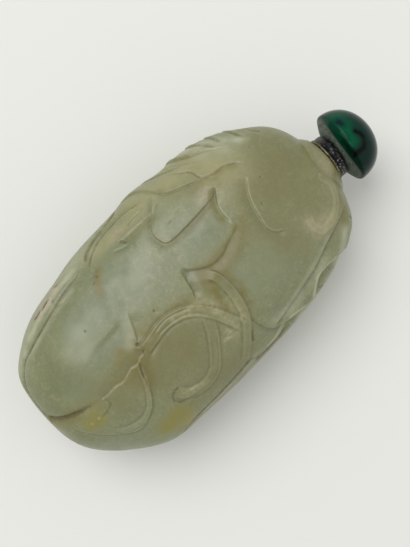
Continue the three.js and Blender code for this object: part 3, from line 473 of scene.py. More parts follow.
class Skin:
    """The outside of the bottle: points of the bare pebble, their carved height and tints."""

    def __init__(self, points):
        self.points = points
        self.height = np.zeros(len(points))
        self.tints = {}

    def near(self, places, reach):
        """Points within reach of a path: which, how far off, how far along and on which side."""
        path = pebble_at(through(places)) if len(places) > 1 else pebble_at(list(places) * 2)
        path[-1] += 1e-6
        normals = pebble_normals(path)
        centre = (path.min(0) + path.max(0)) / 2
        radius = np.linalg.norm(path - centre, axis=1).max() + reach
        which = np.nonzero(np.linalg.norm(self.points - centre, axis=1) < radius)[0]
        distance = np.full(len(which), np.inf)
        along = np.zeros(len(which))
        side = np.ones(len(which))
        for i, run in enumerate(np.diff(path, axis=0)):
            off = self.points[which] - path[i]
            share = np.clip(off @ run / (run @ run), 0, 1)
            off -= share[:, None] * run
            gap = np.linalg.norm(off, axis=1)
            nearer = gap < distance
            distance = np.where(nearer, gap, distance)
            along = np.where(nearer, (i + share) / (len(path) - 1), along)
            side = np.where(nearer, np.sign(np.cross(run, off) @ normals[i]), side)
        inside = distance < reach
        return Near(which[inside], distance[inside], along[inside], side[inside])

    def tint(self, name, which, amount):
        layer = self.tints.setdefault(name, np.zeros(len(self.points)))
        layer[which] = np.maximum(layer[which], amount)

    def cut_valley(self, path, depth, half, fades=(0.3, 0.3)):
        near = self.near(path, 3 * half)
        self.height[near.which] -= depth * line(near.distance, 0, half) * ease(near.along, fades)

    def cut_edge(self, path, drop, reach, rise, bevel, pale, dark, foot, fades):
        near = self.near(path, reach)
        beyond = -near.side * np.sign(drop) * near.distance
        low = smooth(-bevel / 2, bevel / 2, beyond)
        ends = ease(near.along, fades)
        climb = (1 - smooth(0, reach, near.distance)) * ends
        self.height[near.which] += (rise * (1 - low) - abs(drop) * low) * climb
        # pale line on the high side: partly rubbed wear, partly painted highlight; dark line at the foot:
        # partly brown stain, partly painted shade
        self.tint("rim", near.which, pale * line(beyond, -PALE_LINE_HALF, PALE_LINE_HALF) * ends)
        self.tint("stain_and_shade", near.which, dark * line(beyond, 0.9 * foot, foot) * ends)

    def lay_band(self, spine, half, lift, pale, dark, fades):
        near = self.near(spine, half + SIDE_REACH)
        beyond = near.distance - half
        cover = smooth(-EDGE_BEVEL / 2, EDGE_BEVEL / 2, -beyond)
        gutter = line(beyond, GUTTER_HALF, GUTTER_HALF)
        ends = ease(near.along, fades)
        self.height[near.which] += (lift * cover - BAND_GUTTER * gutter) * ends
        # pale line along the band's edges: partly rubbed wear, partly painted highlight; dark line beside
        # them: partly brown stain, partly painted shade
        self.tint("rim", near.which, pale * line(beyond, -0.2, PALE_LINE_HALF) * ends)
        self.tint("stain_and_shade", near.which, dark * line(beyond, 0.15, 0.18) * ends)

    def lay_leaf(self, spine, half, lift, tilt, vein):
        near = self.near(spine, half + SIDE_REACH)
        to_tip = np.maximum(0, (near.along - LEAF_WIDEST) / (1 - LEAF_WIDEST))
        opening = LEAF_ROOT + (1 - LEAF_ROOT) * smooth(0, LEAF_WIDEST, near.along)
        width = half * opening * np.maximum(0, 1 - to_tip ** 2) ** LEAF_TIP
        beyond = near.distance - width
        cover = smooth(-LEAF_BEVEL / 2, LEAF_BEVEL / 2, -beyond)
        across = np.minimum(1, near.distance / np.maximum(width, 0.9))
        crease = line(near.distance, 0, VEIN_HALF) * ease(near.along)
        top = lift * (1 - LEAF_SAG * across ** 2) + tilt * across * near.side - vein * crease
        under = self.height[near.which]
        self.height[near.which] = under + (top - under) * cover
        # pale line inside the leaf's outline: partly rubbed wear, partly painted highlight; dark line
        # outside it: partly brown stain, partly painted shade
        self.tint("rim", near.which, 0.3 * line(beyond, -0.2, 0.22))
        self.tint("stain_and_shade", near.which, 0.6 * line(beyond, 0.25, 0.3))

    def engrave(self, path, depth, half, dark, fades=(0.2, 0.2)):
        near = self.near(path, 3 * half)
        groove = line(near.distance, 0, half) * ease(near.along, fades)
        self.height[near.which] -= depth * groove
        # the groove is darkened: partly brown stain, partly painted shade
        self.tint("stain_and_shade", near.which, dark * groove)

    def swell(self, place, rise, spread):
        near = self.near([place], 3 * spread)
        self.height[near.which] += rise * line(near.distance, 0, spread)

    def pit(self, place, radius, depth):
        near = self.near([place], radius)
        self.height[near.which] -= depth * (1 - (near.distance / radius) ** 2) ** 2
        self.tint("speck", near.which, 1 - near.distance / radius)

    # a stroke of one tone: the stone's own colour, and for some tones painted highlight or shade
    def stain(self, tone, strength, half, places):
        near = self.near(places, 2.5 * half)
        self.tint(tone, near.which, strength * line(near.distance, 0, half))


def hand_ground(points, height_range, seed):
    """The slight unevenness left by grinding and polishing by hand, as a few crossing waves."""
    rng = np.random.default_rng(seed)
    total = np.zeros(len(points))
    for length in GRINDING_WAVES:
        for _ in range(WAVES_OF_EACH):
            way = rng.normal(size=3)
            way *= 2 * math.pi / length / np.linalg.norm(way)
            share = length / GRINDING_WAVES[-1]
            total += np.sin(points @ way + rng.uniform(0, 2 * math.pi)) * share
    return height_range * total / np.abs(total).max()


def raise_to_mouth(points):
    """The end under the stopper swells to a flat round land at the mouth."""
    below = (MOUTH - points) @ MOUTH_AXIS
    radius = np.linalg.norm(points + below[:, None] * MOUTH_AXIS - MOUTH, axis=1)
    lift = below * (1 - smooth(LAND_RADIUS, SHOULDER_RADIUS, radius)) * (points[:, 0] > 0)
    return points + lift[:, None] * MOUTH_AXIS


def carve(skin):
    """All cuts in a carver's order, the fine lines after the large forms, then the tones, some of them
    painted highlight and shade.
    """
    for cut, rows in ((skin.cut_valley, VALLEYS), (skin.cut_edge, EDGES),
                      (skin.lay_band, [band[:-1] for band in BANDS]), (skin.lay_leaf, LEAVES),
                      (skin.swell, SWELLS), (skin.engrave, GROOVES), (skin.pit, PITS)):
        for row in rows:
            cut(*row)
    for tone, stains in TONES.items():
        for stain in stains:
            skin.stain(tone, *stain)
    skin.height += hand_ground(skin.points, HAND_GRINDING, seed=11)


# ---------------------------------------------------------------- nodes
def linear(colour):
    channels = [int(colour[i:i + 2], 16) / 255 for i in (1, 3, 5)]
    return tuple(c / 12.92 if c <= 0.04045 else ((c + 0.055) / 1.055) ** 2.4
                 for c in channels) + (1.0,)


def add_node(tree, kind, settings=None, links=None):
    """Adds a node: settings fill its properties and its own sockets, links bring outputs in."""
    node = tree.nodes.new(kind)
    for name, value in (settings or {}).items():
        if isinstance(name, str) and hasattr(node, name):
            setattr(node, name, value)
        else:
            node.inputs[name].default_value = value
    for name, output in (links or {}).items():
        tree.links.new(output, node.inputs[name])
    return node


def new_material(name):
    material = bpy.data.materials.new(name)
    material.use_nodes = True
    material.node_tree.nodes.clear()
    return material, material.node_tree


# ---------------------------------------------------------------- the bottle's mesh
RINGS = 40
COLUMNS = 48
CAVITY_RINGS = 36
CAVITY_COLUMNS = 72
POLE_SCALE = 15.0  # millimetres of radius for each unit of slope near the mouth
ROUND_TO, OVAL_FROM = 0.35, 1.25  # slopes between which the round rings turn into the oval's
MOST_ROUNDS = 14


def cut_lines():
    """What needs small triangles: a path, how far beside it, half the width and the side."""
    for edge in EDGES:
        yield edge.path, 0, BELT, FINEST
    for band in BANDS:
        yield band.spine, band.half, BELT, band.finest
    for path, _, half, *_ in GROOVES:
        yield path, 0, 1.3 * half, FINEST
    for spine, half, *_ in LEAVES:
        yield spine, 0.6 * half, 0.5 * half, BACK_FINEST
    for place, radius, _ in PITS:
        yield [place], 0, radius, FINEST


def wanted_sides(points):
    """The longest side a triangle may have at each point of the skin."""
    skin = Skin(points)
    wanted = np.full(len(points), COARSEST)
    for path, beside, half, finest in cut_lines():
        near = skin.near(path, beside + half + (COARSEST - finest) / WIDENING)
        off = np.abs(near.distance - beside)
        side = finest + WIDENING * np.maximum(0, off - half)
        wanted[near.which] = np.minimum(wanted[near.which], side)
    at_mouth = np.linalg.norm(points - MOUTH, axis=1) - SHOULDER_RADIUS
    return np.minimum(wanted, 0.3 + WIDENING * np.maximum(0, at_mouth))


def refine(directions, faces):
    """Halves the longest side of every triangle that is too large, and no corner is left loose."""
    points = pebble_toward(directions)
    wanted = wanted_sides(points)
    for _ in range(MOST_ROUNDS):
        sides = np.stack([faces, np.roll(faces, -1, axis=1)], -1).reshape(-1, 2)
        sides.sort(axis=1)
        keys, side_of = np.unique(sides[:, 0] * len(points) + sides[:, 1], return_inverse=True)
        ends = np.stack([keys // len(points), keys % len(points)], 1)
        length = np.linalg.norm(points[ends[:, 0]] - points[ends[:, 1]], axis=1)
        side_of = side_of.reshape(-1, 3)
        longest = np.argmax(length[side_of], axis=1)
        faces = np.take_along_axis(faces, (longest[:, None] + np.arange(3)) % 3, axis=1)
        side_of = np.take_along_axis(side_of, (longest[:, None] + np.arange(3)) % 3, axis=1)
        cut = np.zeros(len(keys), bool)
        cut[side_of[length[side_of[:, 0]] > wanted[faces].min(axis=1), 0]] = True
        if not cut.any():
            break
        while True:
            loose = cut[side_of].any(axis=1) & ~cut[side_of[:, 0]]
            if not loose.any():
                break
            cut[side_of[loose, 0]] = True
        middle = np.full(len(keys), -1)
        middle[cut] = len(points) + np.arange(cut.sum())
        halfway = directions[ends[cut]].mean(axis=1)
        fresh = pebble_toward(halfway)
        directions = np.vstack([directions, halfway])
        points = np.vstack([points, fresh])
        wanted = np.concatenate([wanted, wanted_sides(fresh)])
        first, second, third = middle[side_of].T
        whole = first < 0
        a, b, c = faces.T
        pieces = [faces[whole]]
        for apart, start, end, other in ((second, b, c, first), (third, c, a, first)):
            plain = ~whole & (apart < 0)
            split = ~whole & (apart >= 0)
            pieces.append(np.stack([other, start, end], 1)[plain])
            pieces.append(np.stack([other, start, apart], 1)[split])
            pieces.append(np.stack([other, apart, end], 1)[split])
        faces = np.vstack(pieces)
    return directions, faces


def rim_corners(faces, points):
    """The corners round the open mouth, in order of their turn about the mouth's axis."""
    sides = np.stack([faces, np.roll(faces, -1, axis=1)], -1).reshape(-1, 2)
    keys, count = np.unique(np.sort(sides, axis=1), axis=0, return_counts=True)
    corners = np.unique(keys[count == 1])
    off = points[corners] - MOUTH
    turns = np.arctan2(off @ MOUTH_ACROSS, off[:, 2])
    order = np.argsort(turns)
    return corners[order], turns[order]


def ring_directions(rings, turns, lip_radius, centre_y):
    """Directions ring by ring, from a round ring about the mouth to the pole of the base."""
    start = math.atan(lip_radius / POLE_SCALE)
    slopes = np.linspace(start, math.pi, rings + 1)[:-1]
    blend = smooth(ROUND_TO, OVAL_FROM, slopes)[:, None]
    reach_y = (POLE_SCALE / HALF_WIDTH) * (1 - blend) + blend
    reach_z = (POLE_SCALE / FRONT_DEPTH) * (1 - blend) + blend
    cosine = np.cos(slopes)[:, None]
    sine = np.sin(slopes)[:, None]
    y = reach_y * sine * np.sin(turns) + (1 - blend) * cosine * centre_y / HALF_WIDTH
    z = reach_z * sine * np.cos(turns)
    return np.stack([np.broadcast_to(cosine, y.shape), y, z], -1)


def bore_circle(depth, radius, turns):
    """A circle about the mouth's axis, at a depth below the land, with corners at given turns."""
    ways = np.outer(np.sin(turns), MOUTH_ACROSS) + np.outer(np.cos(turns), [0, 0, 1])
    return MOUTH - depth * MOUTH_AXIS + radius * ways


def ring_faces(first, second, count):
    """Quads between two rings of the same count, given the index of each ring's first corner."""
    return [(first + k, second + k, second + (k + 1) % count, first + (k + 1) % count)
            for k in range(count)]


def between_rings(first, first_turns, second, second_turns):
    """Triangles between two rings whose corners stand at different turns, both ascending."""
    faces = []
    one = two = 0
    one_turns = np.append(first_turns, first_turns[0] + 2 * math.pi)
    two_turns = np.append(second_turns, second_turns[0] + 2 * math.pi)
    while one < len(first_turns) or two < len(second_turns):
        here = first + one % len(first_turns)
        there = second + two % len(second_turns)
        step_one = one < len(first_turns) and (
            two == len(second_turns) or one_turns[one + 1] <= two_turns[two + 1])
        if step_one:
            one += 1
            faces.append((here, there, first + one % len(first_turns)))
        else:
            two += 1
            faces.append((here, there, second + two % len(second_turns)))
    return faces


def pole_faces(ring, pole, count):
    return [(ring + (k + 1) % count, ring + k, pole) for k in range(count)]


def mesh_piece(name, points, faces, tints):
    """A closed mesh in metres, faces outward and shaded smooth, with its tints as attributes."""
    mesh = bpy.data.meshes.new(name)
    mesh.from_pydata((points * MM).tolist(), [], faces)
    mesh.polygons.foreach_set("use_smooth", [True] * len(mesh.polygons))
    mesh.update()
    return linked_piece(name, mesh, tints)


def linked_piece(name, mesh, tints):
    for tint, amounts in tints.items():
        layer = mesh.attributes.new(tint, "FLOAT", "POINT")
        layer.data.foreach_set("value", amounts.astype(np.float32))
    piece = bpy.data.objects.new(name, mesh)
    bpy.context.collection.objects.link(piece)
    return piece


def outer_skin():
    """The carved outside: its points, triangles and tints, open at the mouth."""
    turns = np.linspace(-math.pi, math.pi, COLUMNS, endpoint=False)
    directions = ring_directions(RINGS, turns, RIM_OUTSIDE, MOUTH[1]).reshape(-1, 3)
    pole = len(directions)
    faces = pole_faces(pole - COLUMNS, pole, COLUMNS)
    for ring in range(RINGS - 1):
        for a, b, c, d in ring_faces(ring * COLUMNS, (ring + 1) * COLUMNS, COLUMNS):
            faces += [(a, b, c), (a, c, d)]
    faces = np.array(faces)[:, ::-1]
    directions, faces = refine(np.vstack([directions, [[-1, 0, 0]]]), faces)
    base = pebble_toward(directions)
    skin = Skin(base)
    carve(skin)
    outside = raise_to_mouth(base + pebble_normals(base) * skin.height[:, None])
    low, high = (np.array(corner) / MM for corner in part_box("bottle"))
    return np.clip(outside, low, high), faces, skin.tints


def cavity(turns):
    """The hollow inside, ring by ring from the neck to the pole of the base."""
    inside = ring_directions(CAVITY_RINGS, turns, HOLLOW_MOUTH, MOUTH[1] * 0.7)
    hollow = pebble_toward(np.vstack([inside.reshape(-1, 3), [[-1, 0, 0]]]))
    depth = np.where(hollow[:, 2] > AXIS_HEIGHT, FRONT_DEPTH, BACK_DEPTH)
    full = np.stack([np.full(len(hollow), HALF_LENGTH), np.full(len(hollow), HALF_WIDTH), depth], 1)
    centre = np.array([0, 0, AXIS_HEIGHT])
    return centre + (hollow - centre) / full * CAVITY_HALF - [CAVITY_BACK, 0, 0]


def bottle_piece():
    """The carved outside joined at its lip to the wall of the bore and the hollow inside."""
    outside, faces, tints = outer_skin()
    rim, rim_turns = rim_corners(faces, outside)
    count = len(rim)
    lip = bore_circle(0, BORE_RADIUS + LIP_BEVEL, rim_turns)
    wall = bore_circle(LIP_BEVEL, BORE_RADIUS, rim_turns)
    inner_turns = np.linspace(-math.pi, math.pi, CAVITY_COLUMNS, endpoint=False)
    inner_lip = bore_circle(LIP_DEPTH, BORE_RADIUS, inner_turns)

    points = np.vstack([outside, lip, wall, inner_lip, cavity(inner_turns)])
    lip_at = len(outside)
    wall_at = lip_at + count
    inner_at = wall_at + count
    hollow_at = inner_at + CAVITY_COLUMNS
    last = len(points) - 1
    faces = faces.tolist()
    for k in range(count):
        faces.append((rim[k], lip_at + k, lip_at + (k + 1) % count, rim[(k + 1) % count]))
    faces += ring_faces(lip_at, wall_at, count)
    inner = between_rings(wall_at, rim_turns, inner_at, inner_turns)
    inner += ring_faces(inner_at, hollow_at, CAVITY_COLUMNS)
    for ring in range(CAVITY_RINGS - 1):
        first = hollow_at + ring * CAVITY_COLUMNS
        inner += ring_faces(first, first + CAVITY_COLUMNS, CAVITY_COLUMNS)
    faces += inner + pole_faces(last - CAVITY_COLUMNS, last, CAVITY_COLUMNS)
    inside = np.zeros(len(points) - len(outside))
    tints = {name: np.concatenate([layer, inside]) for name, layer in tints.items()}
    return mesh_piece("bottle_carved", points, faces, tints)


# ---------------------------------------------------------------- the stopper's meshes
TURNED_SIDES = 240
SAME_CORNER = 0.001  # corners closer than this are joined, as at the seam and on the axis


def rounded(corners, steps=4):
    """A profile with its corners rounded: each corner is (radius, along, rounding)."""
    profile = [corners[0][:2]]
    for before, corner, after in zip(corners, corners[1:], corners[2:]):
        spot = np.array(corner[:2], float)
        to_before = np.array(before[:2]) - spot
        to_after = np.array(after[:2]) - spot
        reach = min(corner[2], np.linalg.norm(to_before) / 2.01, np.linalg.norm(to_after) / 2.01)
        start = spot + to_before / np.linalg.norm(to_before) * reach
        end = spot + to_after / np.linalg.norm(to_after) * reach
        for t in np.linspace(0, 1, steps):
            profile.append(tuple((1 - t) ** 2 * start + 2 * t * (1 - t) * spot + t ** 2 * end))
    profile.append(corners[-1][:2])
    return profile


def divided(profile, longest):
    """The same profile with no run longer than given."""
    spots = [profile[0]]
    for start, end in zip(profile, profile[1:]):
        runs = max(1, math.ceil(math.dist(start, end) / longest))
        spots += [tuple(np.add(start, np.subtract(end, start) * (k + 1) / runs))
                  for k in range(runs)]
    return spots


def turning_tree():
    """Turns a profile, a run of corners at (radius, along), about an axis that leans from +X."""
    tree = bpy.data.node_groups.new("turned_form", "GeometryNodeTree")
    sockets = {}
    for name, kind in (("Profile", "Geometry"), ("Sides", "Int"), ("Seat", "Vector"),
                       ("Lean", "Float"), ("Material", "Material")):
        socket = tree.interface.new_socket(name, in_out="INPUT", socket_type="NodeSocket" + kind)
        sockets[name] = socket.identifier
    tree.interface.new_socket("Turned", in_out="OUTPUT", socket_type="NodeSocketGeometry")
    sizes = add_node(tree, "NodeGroupInput").outputs
    index = add_node(tree, "GeometryNodeInputIndex").outputs["Index"]
    place = add_node(tree, "GeometryNodeInputPosition").outputs["Position"]
    steps = add_node(tree, "GeometryNodeAttributeDomainSize", {},
                     {"Geometry": sizes["Profile"]}).outputs["Point Count"]
    columns = add_node(tree, "FunctionNodeIntegerMath", {"operation": "ADD", 1: 1},
                       {0: sizes["Sides"]}).outputs[0]
    grid = add_node(tree, "GeometryNodeMeshGrid", {},
                    {"Vertices X": columns, "Vertices Y": steps}).outputs["Mesh"]
    column = add_node(tree, "FunctionNodeIntegerMath", {"operation": "DIVIDE_FLOOR"},
                      {0: index, 1: steps}).outputs[0]
    step = add_node(tree, "FunctionNodeIntegerMath", {"operation": "MODULO"},
                    {0: index, 1: steps}).outputs[0]
    corner = add_node(tree, "GeometryNodeSampleIndex", {"data_type": "FLOAT_VECTOR"},
                      {"Geometry": sizes["Profile"], "Value": place, "Index": step}).outputs[0]
    parts = add_node(tree, "ShaderNodeSeparateXYZ", {}, {0: corner}).outputs
    share = add_node(tree, "ShaderNodeMath", {"operation": "DIVIDE"},
                     {0: column, 1: sizes["Sides"]}).outputs[0]
    turn = add_node(tree, "ShaderNodeMath", {"operation": "MULTIPLY", 1: -2 * math.pi},
                    {0: share}).outputs[0]
    reach = []
    for wave in ("SINE", "COSINE"):
        part = add_node(tree, "ShaderNodeMath", {"operation": wave}, {0: turn}).outputs[0]
        reach.append(add_node(tree, "ShaderNodeMath", {"operation": "MULTIPLY"},
                              {0: part, 1: parts["X"]}).outputs[0])
    spot = add_node(tree, "ShaderNodeCombineXYZ", {},
                    {"X": parts["Y"], "Y": reach[0], "Z": reach[1]}).outputs[0]
    back = add_node(tree, "ShaderNodeMath", {"operation": "MULTIPLY", 1: -1},
                    {0: sizes["Lean"]}).outputs[0]
    lean = add_node(tree, "ShaderNodeCombineXYZ", {}, {"Z": back}).outputs[0]
    form = grid
    for kind, settings, links in (
            ("GeometryNodeSetPosition", {}, {"Position": spot}),
            ("GeometryNodeMergeByDistance", {"Distance": SAME_CORNER * MM}, {}),
            ("GeometryNodeTransform", {}, {"Translation": sizes["Seat"], "Rotation": lean}),
            ("GeometryNodeSetShadeSmooth", {}, {}),
            ("GeometryNodeRealizeInstances", {}, {}),
            ("GeometryNodeSetMaterial", {}, {"Material": sizes["Material"]})):
        links["Geometry"] = form
        form = add_node(tree, kind, settings, links).outputs[0]
    add_node(tree, "NodeGroupOutput", links={"Turned": form})
    return tree, sockets


def turned(name, profile, seat, lean, material):
    """A plain mesh of the turned form, and its points in millimetres."""
    mesh = bpy.data.meshes.new(name + "_profile")
    corners = [(radius * MM, along * MM, 0) for radius, along in profile]
    mesh.from_pydata(corners, [(k, k + 1) for k in range(len(corners) - 1)], [])
    blank = bpy.data.objects.new(name + "_profile", mesh)
    bpy.context.collection.objects.link(blank)
    modifier = blank.modifiers.new("turned_form", "NODES")
    modifier.node_group, sockets = turning_tree()
    modifier[sockets["Sides"]] = TURNED_SIDES
    modifier[sockets["Seat"]] = [float(value) * MM for value in seat]
    modifier[sockets["Lean"]] = math.radians(lean)
    modifier[sockets["Material"]] = material
    ready = blank.evaluated_get(bpy.context.evaluated_depsgraph_get())
    form = bpy.data.meshes.new_from_object(ready)
    bpy.data.objects.remove(blank)
    points = np.zeros(3 * len(form.vertices))
    form.vertices.foreach_get("co", points)
    return form, points.reshape(-1, 3) / MM


def worn(form, points, node, depth, seed):
    """Moves the corners a little, as wear does, and keeps them inside the solid's own box."""
    low, high = (np.array(corner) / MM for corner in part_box(node))
    off = points - points.mean(axis=0)
    outward = off / np.linalg.norm(off, axis=1, keepdims=True)
    moved = points + outward * (hand_ground(points, depth, seed) - depth)[:, None]
    moved = np.clip(moved, low, high)
    form.vertices.foreach_set("co", (moved * MM).ravel())
    form.update()


def on_stopper(points, seat, lean):
    """Where points lie on the stopper: how far along its axis and how far across it."""
    return np.stack([(points - seat) @ way for way in leaning(lean)], -1)


def painted(spots, places, half):
    """How strongly a soft line through places colours each spot."""
    path = through(places) if len(places) > 1 else np.array(places * 2, float)
    path[-1] += 1e-6
    gap = np.full(len(spots), np.inf)
    for start, run in zip(path, np.diff(path, axis=0)):
        share = np.clip((spots - start) @ run / (run @ run), 0, 1)
        gap = np.minimum(gap, np.linalg.norm(spots - start - share[:, None] * run, axis=1))
    return line(gap, 0, half)


def collar_piece(material):
    base = COLLAR_GAP
    top = base + COLLAR_HEIGHT
    rim = base + COLLAR_RIM
    profile = divided(rounded([
        (0, -PLUG_LENGTH, 0), (PLUG_RADIUS, -PLUG_LENGTH, 0.3), (PLUG_RADIUS, base, 0.05),
        (COLLAR_RADIUS, base, 0.15), (COLLAR_RADIUS, rim, 0.12), (COLLAR_WAIST, rim + 0.12, 0.1),
        (COLLAR_WAIST, top, 0.45), (0, top, 0),
    ]), 0.3)
    form, points = turned("collar", profile, MOUTH, COLLAR_LEAN, material)
    worn(form, points, "stopper_collar", 0.05, seed=5)
    spots = on_stopper(points, MOUTH, COLLAR_LEAN)
    tints = {
        "lip": smooth(rim - 0.1, rim - 0.3, spots[:, 0]),
        "grey_end": painted(spots, [(1.3, 5), (1.3, 3.4)], 0.9),
        "dull": painted(spots, [(1.3, -3.4), (1.3, -5)], 1.1),
    }
    return linked_piece("collar_worn", form, tints)


def cap_piece(material):
    edge = DOME_SEAT_DEPTH + DOME_EDGE
    profile = rounded([
        (0, 0, 0), (DOME_SEAT_RADIUS, 0, 0.4), (0.82 * DOME_RADIUS, 0.55 * DOME_SEAT_DEPTH, 0.5),
        (DOME_RADIUS - 0.05, DOME_SEAT_DEPTH, 0.2), (DOME_RADIUS, edge, 0.15),
    ])
    for angle in np.linspace(0, math.pi / 2, 40)[1:-1]:
        profile.append((DOME_RADIUS * math.cos(angle) ** DOME_FULLNESS,
                        edge + (DOME_HEIGHT - DOME_EDGE) * math.sin(angle)))
    profile.append((0, DOME_SEAT_DEPTH + DOME_HEIGHT))
    form, points = turned("cap", divided(profile, 0.25), DOME_SEAT, DOME_LEAN, material)
    worn(form, points, "stopper_cabochon", 0.02, seed=9)
    spots = on_stopper(points, DOME_SEAT, DOME_LEAN)
    ground_to = GROUND_EDGE + GROUND_CURVE * spots[:, 1] ** 2
    tints = {
        "ground": smooth(0.08, -0.08, spots[:, 0] - ground_to),
        "scratched": (smooth(0.1, -0.1, spots[:, 0] - ground_to + 0.1)
                      * (0.5 + 0.5 * np.sin(16 * spots[:, 0] + 1.3 * np.sin(spots[:, 1] * 1.7))
                         * np.sin(4 * spots[:, 1] + 3 * np.sin(5 * spots[:, 0])))),
        # painted glow: the bright green patch where light passes through the glass
        "painted_glow": painted(spots, [(2.6, 4), (2.4, 1.5), (1.6, -0.6)], 1.7),
        "cloud": np.maximum(painted(spots, [(2.1, 3.4), (2.3, 2.7)], 0.75),
                            0.7 * painted(spots, [(1.2, -0.2), (1.4, 0.9)], 0.5)),
        "film": smooth(0.35, 0.95, spots[:, 0] / DOME_HEIGHT + np.abs(spots[:, 1]) / 12 - 0.1),
        "shadow": np.maximum(
            painted(spots, [(3.4, 0.3), (3.9, -0.8), (3.6, -2.1), (2.6, -2.9), (1.3, -2.9)], 0.5),
            0.7 * painted(spots, [(1.2, -2.8), (0.95, -1.4), (0.9, 0.2)], 0.45)),
        # painted light line along the lower edge of the glow
        "painted_glow_streak": painted(spots, [(1.3, 1.6), (1.3, 0), (1.4, -1.6)], 0.14),
    }
    return linked_piece("cap_domed", form, tints)


# ---------------------------------------------------------------- finishes
def per_metre(millimetres):
    """Noise scale whose features are about the given size."""
    return 1 / (millimetres * MM)


def laid_over(tree, under, tone, amount):
    """A tone laid over a colour by the given amount; the colour may be a plain tone too."""
    plain = {6: linear(under)} if isinstance(under, str) else {}
    fed = {} if plain else {6: under}
    return add_node(tree, "ShaderNodeMix", {"data_type": "RGBA", 7: linear(tone), **plain},
                    {0: amount, **fed}).outputs[2]


def mottled(tree, under, tone, noise, low, high, strength=1):
    """Patches of a tone over a colour, where the noise rises from low to high."""
    share = add_node(tree, "ShaderNodeMapRange", {
        "From Min": low, "From Max": high, "To Max": strength}, {"Value": noise.outputs["Fac"]})
    return laid_over(tree, under, tone, share.outputs["Result"])


def layered(tree, place, colour, layers):
    """Lays each tint over a colour, broken up by noise so that no edge of it is even."""
    for tint, tone, strength, grain, raggedness in layers:
        amount = add_node(tree, "ShaderNodeAttribute", {"attribute_name": tint}).outputs["Fac"]
        patches = add_node(tree, "ShaderNodeTexNoise", {
            "Scale": per_metre(grain), "Detail": 3, "Roughness": 0.6}, {"Vector": place})
        ragged = add_node(tree, "ShaderNodeMapRange", {
            "From Min": 0.3, "From Max": 0.7, "To Min": strength * (1 - raggedness),
            "To Max": strength * (1 + raggedness)}, {"Value": patches.outputs["Fac"]})
        share = add_node(tree, "ShaderNodeMath", {"operation": "MULTIPLY", "use_clamp": True},
                         {0: amount, 1: ragged.outputs["Result"]})
        colour = laid_over(tree, colour, tone, share.outputs["Value"])
    return colour


def as_surface(material, settings, links=None):
    """Gives the material its one shader."""
    shader = add_node(material.node_tree, "ShaderNodeBsdfPrincipled", settings, links)
    add_node(material.node_tree, "ShaderNodeOutputMaterial",
             links={"Surface": shader.outputs["BSDF"]})
    return material


# Tint, its colour, its strength, the size of the patches that break it up, and how much they do.
JADE_LAYERS = [
    # hazy grey of the stone, and painted highlight on lit facets
    ("misty_and_highlight", "#7e8568", 1.0, 4.0, 0.35),
    ("olive", "#716c40", 0.9, 5.0, 0.35),
    ("tan", "#9b966b", 0.85, 4.0, 0.35),
    # darker green of the stone, and painted shade on facets
    ("deep_and_shade", "#5f6a48", 0.5, 2.5, 0.5),
    ("brown", "#6f6730", 0.85, 1.2, 0.6),
    ("yellow", "#837b30", 1.0, 1.0, 0.5),
    # pale stone, mostly painted highlight on lit ridges and strips
    ("pale_and_highlight", "#a4a68a", 0.8, 2.5, 0.5),
    ("quartz", "#9f9b74", 0.5, 0.9, 1.0),
    # dark line at the foot of edges and in grooves: partly brown stain, partly painted shade
    ("stain_and_shade", "#59532d", 0.62, 0.8, 0.6),
    # pale line along edges: partly rubbed wear, partly painted highlight
    ("rim", "#a6a47c", 0.4, 0.6, 0.6),
    ("pink", "#b09e88", 0.8, 0.5, 0.6),
    ("rust", "#6a5040", 0.9, 0.3, 0.5),
    ("speck", "#3c3420", 0.7, 0.3, 0.4),
]


# Cloudiness all through the stone: tone, strength, size of the clouds and the noise they span.
JADE_CLOUDS = [
    ("#8b8a58", 0.6, 2.3, 0.5, 0.72),
    ("#68704f", 0.6, 1.7, 0.5, 0.72),
    ("#989876", 0.5, 1.1, 0.56, 0.72),
    ("#98986e", 0.6, 0.5, 0.52, 0.72),
    ("#5a5c38", 0.5, 0.4, 0.54, 0.74),
]


def polished_nephrite():
    """Nephrite jade, ground and polished by hand: a satin gloss over a cloudy, slightly
    translucent stone, olive in some places and hazy grey in others, brown in the cuts, with
    painted highlights on lit facets and edges and painted shade along edges and the outline."""
    material, tree = new_material("polished_nephrite")
    place = add_node(tree, "ShaderNodeTexCoord").outputs["Object"]
    clouds = add_node(tree, "ShaderNodeTexNoise", {
        "Scale": per_metre(11), "Detail": 4, "Roughness": 0.55, "Distortion": 0.4}, {"Vector": place})
    colour = mottled(tree, "#72754f", "#7b7f5a", clouds, 0.35, 0.65)
    for tone, strength, size, low, high in JADE_CLOUDS:
        cloud = add_node(tree, "ShaderNodeTexNoise", {
            "Scale": per_metre(size), "Detail": 4, "Roughness": 0.65, "Distortion": 0.6},
            {"Vector": place})
        colour = mottled(tree, colour, tone, cloud, low, high, strength)
    colour = layered(tree, place, colour, JADE_LAYERS)
    gloss = add_node(tree, "ShaderNodeTexNoise", {
        "Scale": per_metre(2.5), "Detail": 5, "Roughness": 0.65}, {"Vector": place})
    roughness = add_node(tree, "ShaderNodeMapRange", {
        "From Min": 0.3, "From Max": 0.7, "To Min": 0.3, "To Max": 0.46},
        {"Value": gloss.outputs["Fac"]})
    grain = add_node(tree, "ShaderNodeTexNoise", {
        "Scale": per_metre(0.5), "Detail": 4, "Roughness": 0.6}, {"Vector": place})
    bump = add_node(tree, "ShaderNodeBump", {"Strength": 0.35, "Distance": 0.03 * MM},
                    {"Height": grain.outputs["Fac"]})
    return as_surface(material, {
        "IOR": 1.61, "Subsurface Weight": 0.15, "Subsurface Radius": (1.0, 1.0, 0.6),
        "Subsurface Scale": 1.0 * MM}, {
        "Base Color": colour, "Roughness": roughness.outputs["Result"],
        "Normal": bump.outputs["Normal"]})


